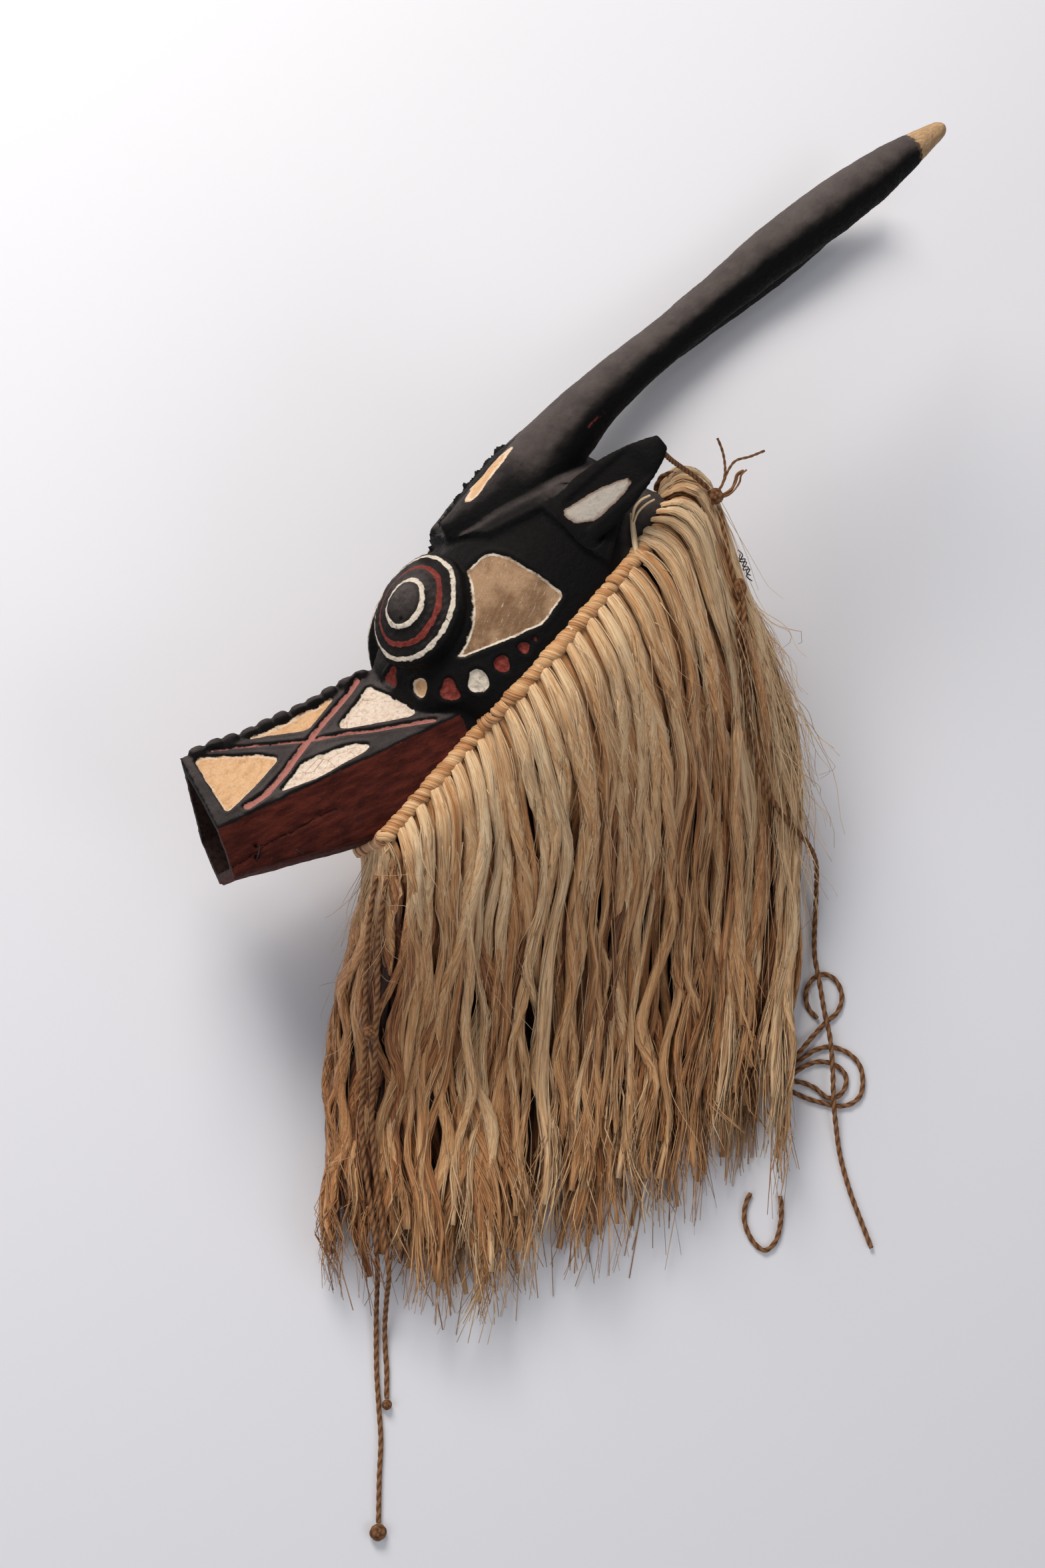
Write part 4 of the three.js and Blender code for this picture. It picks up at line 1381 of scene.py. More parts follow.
# Fringe, in lying coordinates and millimetres
@dataclass
class Curtain:
    """Middle surface of the fringe, from the rim of the hood down to a flattened hem."""

    carving: Carving
    drop: float = 9.5
    outset: float = 3.0
    thick: float = 5.8
    fan_power: float = 3.4
    fall_power: float = 1.05
    settle: float = 0.7
    lift: float = 30.0
    flare: float = 14.0
    left: float = -115.0
    right: float = 206.0
    upper: float = 36.0
    lower: float = 6.0
    bottom: float = -356.0
    rise_left: float = 0.0046
    rise_right: float = 0.0024
    flatness: float = 0.3
    rim_line: Array = field(init=False)
    hem_line: Array = field(init=False)
    down: Array = field(init=False)

    def __post_init__(self) -> None:
        """Reads the rim and the hem once."""
        tilt = self.carving.rim.tilt
        self.down = np.array([math.sin(tilt), -math.cos(tilt), 0.0])
        self.rim_line = spline(self.rim_points(), 0.4, True)
        self.hem_line = spline(self.hem_points(), 0.4, True)

    def rim_points(self) -> Array:
        """Closed line along the rim, from the chin round the near side and back.

        Returns:
            Points in head coordinates.
        """
        rim, hood, snout = self.carving.rim, self.carving.hood, self.carving.snout
        s = lerp(rim.front, rim.back, 0.5 - 0.5 * np.cos(np.pi * np.linspace(0, 1, 61)))
        size = hood.size(np.clip(s, hood.nose + 1, hood.tail - 1), rim)
        under = np.clip((size["waist"] - rim.at(s)) / size["below"], 0, 0.98)
        power = hood.skirt_power
        wide = np.where(s > hood.nose, size["half"] * (1 - under**power) ** (1 / power), 0)
        narrow = np.where(s < snout.back, snout.eaves_half_at(s) - rim.tuck, 0)
        side = np.stack([s, rim.at(s), np.maximum(wide, narrow)], axis=1)
        ends = np.array([[rim.front, rim.at(rim.front), 0], [rim.back + 2, rim.at(rim.back + 2), 0]])
        return np.vstack([ends[:1], side, ends[1:], side[::-1] * np.array([1, 1, -1])])

    def hem_points(self) -> Array:
        """Closed line along the hem, flattened where the fringe lies.

        Returns:
            Points in lying coordinates.
        """
        angle = 2 * np.pi * np.arange(80) / 80
        c, d = np.cos(angle), np.sin(angle)
        x = (self.right + self.left) / 2 - (self.right - self.left) / 2 * np.sign(c) * np.abs(c) ** 0.8
        rise = np.where(x < 0, self.rise_left, self.rise_right)
        depth = (self.upper - self.lower) / 2
        z = self.lower + depth + depth * np.sign(d) * np.abs(d) ** self.flatness - HALF_WIDTH
        return np.stack([x, self.bottom + rise * x**2, z], axis=1)

    def read(self, line: Array, u: Array) -> Array:
        """Point of a closed line at share u of its length.

        Args:
            line: Points of the line.
            u: Shares of its length.

        Returns:
            One point for each share.
        """
        at = (np.asarray(u, float) % 1.0) * (len(line) - 1)
        grid = np.arange(len(line))
        return np.stack([np.interp(at, grid, line[:, k]) for k in range(3)], axis=-1)

    def rim_frame(self, u: Array) -> tuple[Array, Array]:
        """Point of the rim and the direction outward, in head coordinates."""
        tangent = unit(self.read(self.rim_line, u + 0.002) - self.read(self.rim_line, u - 0.002))
        return self.read(self.rim_line, u), unit(np.cross(self.down, tangent))

    def middle(self, u: Array, v: Array) -> Array:
        """Point of the surface at share u round the rim and share v down its length.

        Args:
            u: Shares of the way round the rim.
            v: Shares of the way down.

        Returns:
            Points in lying coordinates.
        """
        rim, out = self.rim_frame(u)
        start = head_to_lying(rim + self.down * self.drop + out * self.outset)
        end = self.read(self.hem_line, u)
        fan = 1 - np.maximum(0, 1 - v) ** self.fan_power
        arch = np.sin(np.pi * np.minimum(1, np.maximum(v, 0) / 0.14) ** 0.6)
        nape = ease(np.abs(u % 1.0 - 0.5), 0.2, 0)
        flare = self.flare * np.sin(np.pi * np.clip(v / 0.85, 0, 1))
        fall = np.sign(v) * np.abs(v) ** self.fall_power
        return np.stack([
            lerp(start[..., 0], end[..., 0], fan) + nape * flare,
            lerp(start[..., 1], end[..., 1], fall) + nape * self.lift * arch,
            lerp(start[..., 2], end[..., 2], ease(v, 0, self.settle)),
        ], axis=-1)

    def outward(self, u: Array, v: Array) -> Array:
        """Direction out of the surface.

        Args:
            u: Shares of the way round the rim.
            v: Shares of the way down.

        Returns:
            Unit directions in lying coordinates.
        """
        across = self.middle(u + 0.004, v) - self.middle(u - 0.004, v)
        down = self.middle(u, v + 0.03) - self.middle(u, np.maximum(0, v - 0.03))
        return unit(np.cross(down, across))


@dataclass
class Strands:
    """Flat or full bundles of fibre as closed strips along given paths."""

    paths: Array
    flats: Array
    width: Array
    thick: Array
    tint: Array
    # Darkness of each strip: painted shade on the locks, a plain tone on the other strips
    deep: Array
    sides: int = 4
    groove: Array | None = None
    spin: Array | None = None

    def build(self, name: str) -> bpy.types.Object:
        """Makes one mesh of all strips, with their strand place, tip, tint and darkness kept; on the locks
        the darkness is painted shade.

        Args:
            name: Name of the object.

        Returns:
            The mesh object in the row frame.
        """
        count, rings = self.paths.shape[:2]
        sides = self.sides
        along = unit(np.gradient(self.paths, axis=1))
        side = unit(np.cross(along, self.flats))[:, :, None]
        face = np.cross(side, along[:, :, None])
        angle = 2 * np.pi * np.arange(sides) / sides
        full = np.ones((count, rings, sides)) if self.groove is None else self.groove
        shape = (count, rings, sides)
        a = np.broadcast_to(self.width[..., None] / 2 * np.cos(angle), shape) * full
        b = np.broadcast_to(self.thick[..., None] / 2 * np.sin(angle), shape) * full
        corners = self.paths[:, :, None] + side * a[..., None] + face * b[..., None]
        keep_above(corners, -HALF_WIDTH + 0.05)
        quad = grid_faces(rings, sides, True)[..., [0, 3, 2, 1]]
        start = np.arange(count) * rings * sides
        faces = (start[:, None, None, None] + quad[None]).reshape(-1, 4)
        loop = np.arange(sides)
        caps = [start[:, None] + loop, start[:, None] + (rings - 1) * sides + loop[::-1]]
        obj = build_mesh(name, lying_to_row(corners.reshape(-1, 3)), [faces, *caps])
        steps = np.linalg.norm(np.diff(self.paths, axis=1), axis=2)
        run = np.concatenate([np.zeros((count, 1)), np.cumsum(steps, axis=1)], axis=1)
        mesh = obj.data
        if self.spin is not None:
            c, d = np.cos(self.spin)[..., None], np.sin(self.spin)[..., None]
            a, b = a * c + b * d, b * c - a * d
        strand = np.stack([a, b, np.broadcast_to(run[..., None], shape)], axis=-1)
        layer = mesh.attributes.new("strand", "FLOAT_VECTOR", "POINT")
        layer.data.foreach_set("vector", (strand * MM).astype(np.float32).ravel())
        wide = lambda values: np.broadcast_to(values[..., None], shape).ravel()
        set_float(mesh, "tip", wide(run / run[:, -1:]))
        set_float(mesh, "tint", wide(np.broadcast_to(self.tint[:, None], (count, rings))))
        set_float(mesh, "deep", wide(np.broadcast_to(self.deep, (count, rings))))
        shade(obj)
        LOG.info("%s: %d strips, %d triangles", name, count, count_triangles(mesh))
        return obj


# Extra length of the hem's tufts, as (x, millimetres)
TUFTS = [
    (-115, 50), (-104, 18), (-86, -2), (-69, -2), (-45, 2), (-21, 14), (-4, 18), (3, 0), (17, -38),
    (27, -37), (41, -35), (51, -39), (60, -37), (66, 10), (70, 22), (74, -40), (86, -80), (98, -52),
    (110, -28), (122, -23), (135, -31), (146, -38), (170, -45), (180, -63), (194, -50), (206, 10),
]


def scatter(rng: np.random.Generator, count: int, size: float) -> Array:
    """Normal deviations of the given size, one row per item."""
    return size * rng.normal(size=(count, 1))


@dataclass(frozen=True)
class Hitches:
    """Slanted turns of fibre wound close together over the cord along the rim, each an open ring."""

    curtain: Curtain
    rim_length: float
    seed: int
    count: int = 150
    rings: int = 18
    sides: int = 9
    # Depth of the cord's middle under the rim, reach of a turn from it and swell of its middle
    drop: float = 3.2
    reach: float = 4.1
    swell: float = 0.4
    # Degrees from the middle of a turn to its end, and its lean and width in pitches
    half_turn: float = 170.0
    lean: float = 2.2
    overlap: float = 1.35
    thick: float = 3.0
    groove: float = 0.1

    def build(self) -> bpy.types.Object:
        """Makes the turns.

        Returns:
            The mesh object of all turns.
        """
        rng = np.random.default_rng(self.seed)
        share = np.linspace(0, 1, self.rings)[None, :]
        middle = np.sin(np.pi * share)
        angle = np.radians(lerp(self.half_turn, -self.half_turn, share)) + scatter(rng, self.count, 0.16)
        pitch = self.rim_length / self.count
        slant = pitch * self.lean + scatter(rng, self.count, 1.3)
        start = (np.arange(self.count)[:, None] + 0.5) / self.count
        start = start + scatter(rng, self.count, 0.4) / self.rim_length
        u = start + slant * (share - 0.5) / self.rim_length
        rim, out = self.curtain.rim_frame(u)
        centre = rim - out + self.curtain.down * self.drop
        around = np.cos(angle)[..., None] * out - np.sin(angle)[..., None] * self.curtain.down
        reach = self.reach + scatter(rng, self.count, 0.5) + self.swell * middle
        path = head_to_lying(centre + around * reach[..., None])
        turned = head_to_lying(around) - head_to_lying(np.zeros(3))
        width = (pitch * self.overlap + scatter(rng, self.count, 0.9)) * lerp(0.7, 1.0, middle)
        plain = np.zeros_like(width)
        spread = (2 * np.pi * np.arange(self.sides) / self.sides)[None, None, :]
        wave = np.sin(4 * spread + 2.2 * share[..., None] + 9 * start[..., None])
        groove = 1 + self.groove * wave + plain[..., None]
        tint = np.clip(0.45 + scatter(rng, self.count, 0.2)[:, 0], 0, 1)
        turns = Strands(path, turned, width, plain + self.thick, tint, plain + 0.5, self.sides, groove)
        return turns.build("fringe_hitches")


@dataclass(frozen=True)
class Wisps:
    """Single thin fibres that stand off the locks and the hem, most of them at the nape and the chin."""

    curtain: Curtain
    rim_length: float
    seed: int
    count: int = 420
    rings: int = 14
    # Shares of the fibres that stray at the nape, grow near it, and grow elsewhere than at the chin
    straying: float = 0.3
    at_nape: float = 0.4
    before_chin: float = 0.88
    thick: tuple = (0.35, 0.65)

    def build(self) -> bpy.types.Object:
        """Makes the fibres.

        Returns:
            The mesh object of all fibres.
        """
        rng, count = np.random.default_rng(self.seed), self.count
        pick = rng.uniform(size=count)
        base = rng.uniform(0.02, 0.5, count)
        base = np.where(pick < self.at_nape, rng.uniform(0.4, 0.5, count), base)
        base = np.where(pick > self.before_chin, rng.uniform(-0.03, 0.06, count), base)
        stray = pick < self.straying
        base = np.where(stray, rng.uniform(0.455, 0.495, count), base)
        start = rng.uniform(0.0, 0.8, count) * rng.uniform(0.1, 1, count)
        start = np.where(stray, rng.uniform(0.12, 0.42, count), start)
        length = rng.uniform(0.08, 0.3, count)
        share = np.linspace(0, 1, self.rings)[None, :]
        v = start[:, None] + length[:, None] * share
        bend = scatter(rng, count, 11) * share**1.6 + scatter(rng, count, 4) * np.sin(4 * share)
        u = base[:, None] + bend / self.rim_length
        lift = 4.0 + np.abs(scatter(rng, count, 1)) * np.where(stray, 17, 9)[:, None] * share**1.2
        lift = lift + stray[:, None] * 3.5 * np.sin(11 * share + rng.uniform(0, 6, (count, 1))) * share
        normal = self.curtain.outward(u, v)
        path = self.curtain.middle(u, v) + normal * lift[..., None]
        keep_above(path, -HALF_WIDTH + 0.5)
        width = rng.uniform(*self.thick, (count, 1)) * lerp(1.0, 0.4, share)
        width = width * np.where(stray, 1.5, 1.0)[:, None]
        tint = np.clip(0.75 + scatter(rng, count, 0.2)[:, 0], 0, 1)
        return Strands(path, normal, width, width, tint, 0.15 + 0 * v, 3).build("fringe_wisps")


class Lock(IntEnum):
    """Columns of the numbers drawn for each lock."""

    LENGTH = 0
    WIDE_PHASE = 3
    NARROW_PHASE = 4
    RISE_PHASE = 5
    WIDTH = 6
    MOOD = 7
    NARROW_SWAY = 9
    DRIFT = 10
    LIFT = 11
    STRAY = 12


class Part(IntEnum):
    """Columns of the numbers drawn for each part of a lock."""

    LENGTH = 0
    PARTING = 1
    TIGHT = 2
    PITCH = 3
    HAND = 4
    START = 5
    BESIDE = 6
    SWAY_LENGTH = 7
    SWAY_PHASE = 8
    RISE = 9
    WIDTH = 10
    TINT = 11


@dataclass
class Fringe:
    """Looped fringe of fine fibre in soft locks, each hitched over the cord along the rim."""

    curtain: Curtain
    hitched: int = 74
    parts: int = 2
    rim_length: float = 720.0
    fall_length: float = 330.0
    # Sideways and outward waves of locks, each as its height and length
    wide_sway: tuple = (5.2, 185.0)
    narrow_sway: tuple = (4.2, 88.0)
    part_sway: tuple = (2.0, 74.0)
    rise_sway: tuple = (2.2, 130.0)
    # Sideways drift of plain and stray locks, and twist of tight and loose parts
    drift: tuple = (11.0, 28.0)
    twist: tuple = (98.0, 260.0)
    coil: tuple = (1.1, 0.5)
    # Half width of a whole lock and of its parts, and height of upper and under locks
    half: tuple = (4.4, 3.3)
    layer: tuple = (1.6, -4.2)
    # Depth of the heading cord's middle under the rim, and how far the fibre arches out over it
    cord_drop: float = 3.0
    arch_reach: float = 2.6
    nape_reach: float = 5.0
    # Locks piled at the nape: upward and to the left
    heap_up: float = 15.0
    heap_left: float = 4.0
    # Hollow pressed by a cord: room under it, its width on each side, which is its height there too,
    # and how much deeper the bodies of the locks lie
    press_room: float = 2.6
    press_width: float = 14.0
    under_strands: float = 3.4
    # Place down the fall where the arch over the cord starts and ends, and its share of the rings
    arch_start: float = -0.03
    arch_end: float = 0.09
    arch_share: float = 0.36
    seed: int = 11
    base: Array = field(init=False)
    lots: Array = field(init=False)
    own: Array = field(init=False)
    under: Array = field(init=False)

    def __post_init__(self) -> None:
        """Draws the places and habits of all locks, upper ones first."""
        rng = np.random.default_rng(self.seed)
        count = 2 * self.hitched
        place = np.concatenate([np.arange(self.hitched) + 0.5, np.arange(self.hitched) + 1.0])
        self.base = (place + rng.uniform(-0.2, 0.2, count)) / self.hitched
        self.under = np.arange(count) >= self.hitched
        self.lots = rng.uniform(-1, 1, (count, 14))
        self.own = rng.uniform(-1, 1, (count, self.parts, len(Part)))

    def stretch(self, low: float, high: float) -> Array:
        """Numbers of the locks between two places on the rim."""
        return np.flatnonzero(((self.base % 1.0) >= low) & ((self.base % 1.0) < high))

    def length(self, k: Array, part: Array) -> Array:
        """Length of parts of locks, as a share of the plain fall.

        Args:
            k: Lock of each line.
            part: Part of the lock that the line belongs to.

        Returns:
            One share per line.
        """
        x = self.curtain.read(self.curtain.hem_line, self.base[k])[:, 0]
        near = np.where(self.base[k] % 1.0 < 0.53, 1.0, 0.3)
        extra = np.interp(x, *np.array(TUFTS, float).T) * near
        lot, own = self.lots[k, Lock.LENGTH], self.own[k, part, Part.LENGTH]
        shorter = 0.05 * own - 0.06 * (own < -0.6)
        return 1 + extra / self.fall_length + shorter + 0.02 * lot - 0.05 * self.under[k]

    def middle(self, k: Array, part: Array, v: Array) -> tuple[Array, ...]:
        """Course of parts of locks down their length.

        Args:
            k: Lock of each line.
            part: Part of the lock that the line belongs to.
            v: Places down the fall, as (line, ring).

        Returns:
            Sideways shift, height over the middle surface, turn, and half width of the part.
        """
        lots, own = self.lots[k][:, :, None], self.own[k, part][:, :, None]
        y = 2 * np.pi * v * self.fall_length
        free = ease(v, 0.02, 0.32)
        apart = ease(v, 0.08, 0.42 + 0.15 * own[:, Part.PARTING])

        def wave(size: tuple, phase: Array, spread: Array | float = 0.0) -> Array:
            """Wave of a (height, length) pair down the lock."""
            return size[0] * np.sin(y / (size[1] + spread) + phase)

        tight = own[:, Part.TIGHT] > -0.4
        own_pitch = own[:, Part.PITCH]
        pitch = np.where(tight, self.twist[0] + 22 * own_pitch, self.twist[1] + 90 * own_pitch)
        turn = y / pitch * np.sign(own[:, Part.HAND]) * ease(v, 0.0, 0.3) + 3 * own[:, Part.START]
        coil = np.where(tight, *self.coil) * apart
        shift = wave(self.wide_sway, np.pi * lots[:, Lock.WIDE_PHASE])
        shift = shift + lots[:, Lock.NARROW_SWAY] * wave(self.narrow_sway, np.pi * lots[:, Lock.NARROW_PHASE])
        drift = np.where(np.abs(lots[:, Lock.STRAY]) > 0.66, *self.drift[::-1]) * lots[:, Lock.DRIFT]
        aside = own[:, Part.BESIDE]
        beside = (2 * part[:, None] - 1) * (2.6 + 2.6 * np.abs(aside)) + 3.0 * aside
        shift = shift * free + drift * ease(v, 0.08, 1.0) + beside * apart
        lean = wave(self.part_sway, 3 * own[:, Part.SWAY_PHASE], 20 * own[:, Part.SWAY_LENGTH])
        shift = shift + lean * apart + coil * np.cos(turn)
        rise = (wave(self.rise_sway, np.pi * lots[:, Lock.RISE_PHASE]) + 2.6 * lots[:, Lock.LIFT]) * free
        rise = rise + np.where(self.under[k], *self.layer[::-1])[:, None] + 3.2 * own[:, Part.RISE] * apart
        rise = rise + coil * np.sin(turn)
        half = lerp(self.half[0] + 0.6 * lots[:, Lock.WIDTH], self.half[1] + 1.3 * own[:, Part.WIDTH], apart)
        half = half * lerp(0.62, 1.0, ease(v, 0.0, 0.07))
        half = half * (1 + 0.1 * np.sin(y / 61 + 3 * own[:, Part.PARTING]))
        return shift, rise, turn, half

    def fall(self, k: Array, v: Array, across: Array, out: Array) -> tuple[Array, Array]:
        """Points and outward directions of lines beside their lock, first over the cord and then down.

        Args:
            k: Lock of each line.
            v: Places down the fall, negative where the line still arches over the cord.
            across: Millimetres along the rim.
            out: Millimetres off the middle surface.

        Returns:
            Points and outward directions.
        """
        curtain = self.curtain
        u = self.base[k][:, None] + across / self.rim_length
        down = np.maximum(v, 0)
        normal = curtain.outward(u, down)
        points = curtain.middle(u, down) + normal * out[..., None]
        rim, off = curtain.rim_frame(u)
        nape = ease(np.abs(u % 1.0 - 0.48), 0.15, 0.04)
        angle = np.radians(lerp(85 + 50 * nape, 75 * nape - 40, np.clip(1 - v / self.arch_start, 0, 1)))
        reach = self.arch_reach + 0.6 * out + self.nape_reach * nape
        arch = rim - off + curtain.down * self.cord_drop
        arch = arch + off * (np.cos(angle) * reach)[..., None]
        arch = arch - curtain.down * (np.sin(angle) * reach)[..., None]
        points = lerp(points, head_to_lying(arch), ease(v, 0.06, 0.0)[..., None])
        bulge = np.sin(np.pi * np.clip((v - self.arch_start) / 0.2, 0, 1) ** 0.7)
        heap = ease(np.abs(u % 1.0 - 0.49), 0.06, 0.0) * bulge
        points[..., 1] += self.heap_up * heap
        points[..., 0] -= self.heap_left * heap
        points[..., 2] = np.minimum(points[..., 2], self.pressed(points))
        return points, normal

    def pressed(self, points: Array) -> Array:
        """Greatest height under the cords that lie over the fringe.

        Args:
            points: Points in lying coordinates.

        Returns:
            Height for each point, far up off the cords.
        """
        free = 400.0
        limit = np.full(points.shape[:-1], free)
        for name in ("back_cord", "front_cord", "front_cord_return"):
            route = next(cord.route for cord in ROUTES if cord.name == name)
            line = spline([spot for spot in route if spot[2] > 38 and spot[1] < 195], 4.0)
            for x, y, z in line:
                gap = np.hypot(points[..., 0] - x, points[..., 1] - y)
                bank = self.press_width * ease(gap, 3.0, self.press_width) + free * (gap > self.press_width)
                limit = np.minimum(limit, z - HALF_WIDTH - self.press_room + bank)
        return limit

    def places(self, last: Array, rings: int) -> Array:
        """Places down the fall, closer over the cord.

        Args:
            last: Where each line ends, down the fall.
            rings: Points on each line.

        Returns:
            Places as (line, ring).
        """
        over = int(rings * self.arch_share)
        first = np.linspace(self.arch_start, self.arch_end, over)[None, :] + 0 * last[:, None]
        rest = lerp(self.arch_end, last[:, None], np.linspace(0, 1, rings - over + 1)[None, 1:] ** 1.06)
        return np.concatenate([first, rest], axis=1)

    def painted_shade_and_tone(self, k: Array, v: Array) -> Array:
        """Painted shade and tone of the fibre: darker down the fall, painted shadow on the left and on the
        far side, painted shade on the under locks, and a tone of its own for each lock.

        Args:
            k: Lock of each line.
            v: Places down the fall, as (line, ring).

        Returns:
            Darkness at each place.
        """
        x = self.curtain.read(self.curtain.hem_line, self.base[k])[:, :1]
        # Painted shadow on the left under the chin and on the far side
        left = ease(x, -30, -95) * 0.7 + ease(np.abs(self.base[k] % 1.0 - 0.78), 0.24, 0.2)[:, None] * 0.4
        # Painted shade on the under locks
        under = self.under[k][:, None] * (0.62 - 0.27 * ease(v, 0.7, 1.0))
        mood = 0.28 * self.lots[k, Lock.MOOD][:, None] * ease(v, -0.02, 0.1)
        down = 0.26 * ease(v, 0.08, 0.4) - 0.12 * ease(v, 0.7, 1.0)
        return 0.1 + down + left * ease(v, 0.0, 0.3) + under + mood

    def fullness(self, v: Array) -> Array:
        """Thickness of a lock as a share of its width, which grows once it is off the cord."""
        return lerp(0.5, 0.8, ease(v, 0, 0.3))

    def bodies(self, name: str, k: Array, rings: int, sides: int) -> bpy.types.Object:
        """Twisted bodies of the locks' parts, grooved between their fibres, that thin out to the hem.

        Args:
            name: Name of the object.
            k: Numbers of the locks.
            rings: Rings on each body.
            sides: Points in each ring.

        Returns:
            The mesh object.
        """
        part = np.tile(np.arange(self.parts), len(k))
        k = np.repeat(k, self.parts)
        last = self.length(k, part) * 0.93
        v = self.places(last, rings)
        shift, rise, turn, half = self.middle(k, part, v)
        points, normal = self.fall(k, v, shift, rise)
        points[..., 2] = np.minimum(points[..., 2], self.pressed(points) - self.under_strands)
        keep_above(points, -HALF_WIDTH + 1.5)
        thin = lerp(1.0, 0.5, ease(v / last[:, None], 0.8, 1.0))
        width = 2 * half * thin
        thick = width * self.fullness(v)
        own = self.own[k, part]
        angle = (2 * np.pi * np.arange(sides) / sides)[None, None, :] - turn[..., None]
        groove = 1 + 0.11 * np.sin(2 * angle + 3 * own[:, Part.PARTING, None, None])
        groove = groove + 0.07 * np.sin(3 * angle + 2)
        groove = groove + 0.07 * np.sin(5 * angle + 3 * own[:, Part.PITCH, None, None])
        tint = np.clip(0.5 + 0.26 * own[:, Part.TINT], 0, 1)
        return Strands(points, normal, width, thick, tint, self.painted_shade_and_tone(k, v), sides, groove, turn).build(name)

    def strands(self, name: str, k: Array, each: int, rings: int) -> bpy.types.Object:
        """Fine strands that arch over the cord, wind round their part of a lock and fan out.

        Args:
            name: Name of the object.
            k: Numbers of the locks.
            each: Strands on each lock.
            rings: Rings on each strand.

        Returns:
            The mesh object.
        """
        rng = np.random.default_rng(self.seed + 7 * len(k) + each)
        k = np.repeat(k, each)
        count = len(k)
        part = rng.integers(0, self.parts, count)
        last = self.length(k, part) * (1.01 - 0.16 * rng.uniform(0, 1, count) ** 1.6)
        v = self.places(last, rings)
        shift, rise, turn, half = self.middle(k, part, v)
        angle = rng.uniform(0, 2 * np.pi, (count, 1)) + turn
        radius = rng.uniform(0.8, 1.12, (count, 1))
        own = rng.uniform(0, 2 * np.pi, (count, 3))
        y = 2 * np.pi * v * self.fall_length
        fan = ease(v / self.length(k, part)[:, None], 0.72, 1.02)
        loose = ease(v, 0.05, 0.3) * (0.5 * np.sin(y / 88 + own[:, :1]) + 0.3 * np.sin(y / 37 + own[:, 1:2]))
        wide = half * radius * (1 + 1.3 * fan)
        across = shift + np.cos(angle) * wide + loose * 1.1 + scatter(rng, count, 4.6) * fan**1.5
        out = rise + np.sin(angle) * wide * self.fullness(v) + loose * 0.6 + scatter(rng, count, 1.6) * fan
        points, normal = self.fall(k, v, across, out)
        keep_above(points, -HALF_WIDTH + 0.6)
        along = unit(np.gradient(points, axis=1))
        roll = 0.8 * np.cos(angle) + scatter(rng, count, 0.5)
        flats = normal * np.cos(roll)[..., None] + np.cross(along, normal) * np.sin(roll)[..., None]
        share = v / last[:, None]
        width = rng.uniform(0.6, 1.7, (count, 1)) * lerp(0.5, 1, ease(share, -0.1, 0.05))
        width = width * lerp(1, 0.55, ease(share, 0.85, 1))
        tint = 0.54 + scatter(rng, count, 0.2)[:, 0] + 0.22 * self.own[k, part, Part.TINT]
        # Painted shade as on the bodies, and more of it as each part's twist turns it
        deep = self.painted_shade_and_tone(k, v) - 0.1 + 0.1 * np.sin(turn)
        thick = np.minimum(width * 0.5, 0.7)
        return Strands(points, flats, width, thick, np.clip(tint, 0, 1), deep, 3).build(name)

    def build(self, material: bpy.types.Material) -> None:
        """Makes the whole fringe in stretches from the chin round to the nape and back.

        Args:
            material: Look of the fibre.
        """
        stretches = (
            ("front", 0.0, 0.19, range(1, 8)), ("middle", 0.19, 0.36, range(8, 14)),
            ("nape", 0.36, 0.56, range(14, 21)), ("far", 0.56, 1.0, range(21, 38)),
        )
        for name, low, high, hanks in stretches:
            k = self.stretch(low, high)
            near = name != "far"
            rings, sides = (46, 14) if near else (26, 8)
            bodies = self.bodies(f"fringe_{name}_locks", k, rings, sides)
            give(bodies, material, "fibre", *[f"fringe_hank_{n:02d}" for n in hanks])
            over, below = k[~self.under[k]], k[self.under[k]]
            layers = (
                ("strands", over, (34, 26) if near else (8, 18)),
                ("under", below, (16, 24) if near else (5, 16)),
            )
            for layer, locks, (each, rings) in layers:
                give(self.strands(f"fringe_{name}_{layer}", locks, each, rings), material, "fibre")
        hitches = Hitches(self.curtain, self.rim_length, self.seed + 1)
        give(hitches.build(), material, "fibre", "heading_cord")
        give(Wisps(self.curtain, self.rim_length, self.seed + 2).build(), material, "fibre")


# Cords, as routes of (x, y, height) in lying coordinates, with a cord's centre at rest on the table
CORD_REST = 2.2


@dataclass(frozen=True)
class CordRoute:
    """One loose two-ply cord: its route from its exit on, its far end and the pieces tied on it."""

    name: str
    route: tuple
    far_end: str = "bare"
    tied: tuple = ()


def on_table(*spots: tuple) -> tuple:
    """Route along (x, y) points for a cord that lies on the table."""
    return tuple((x, y, CORD_REST) for x, y in spots)


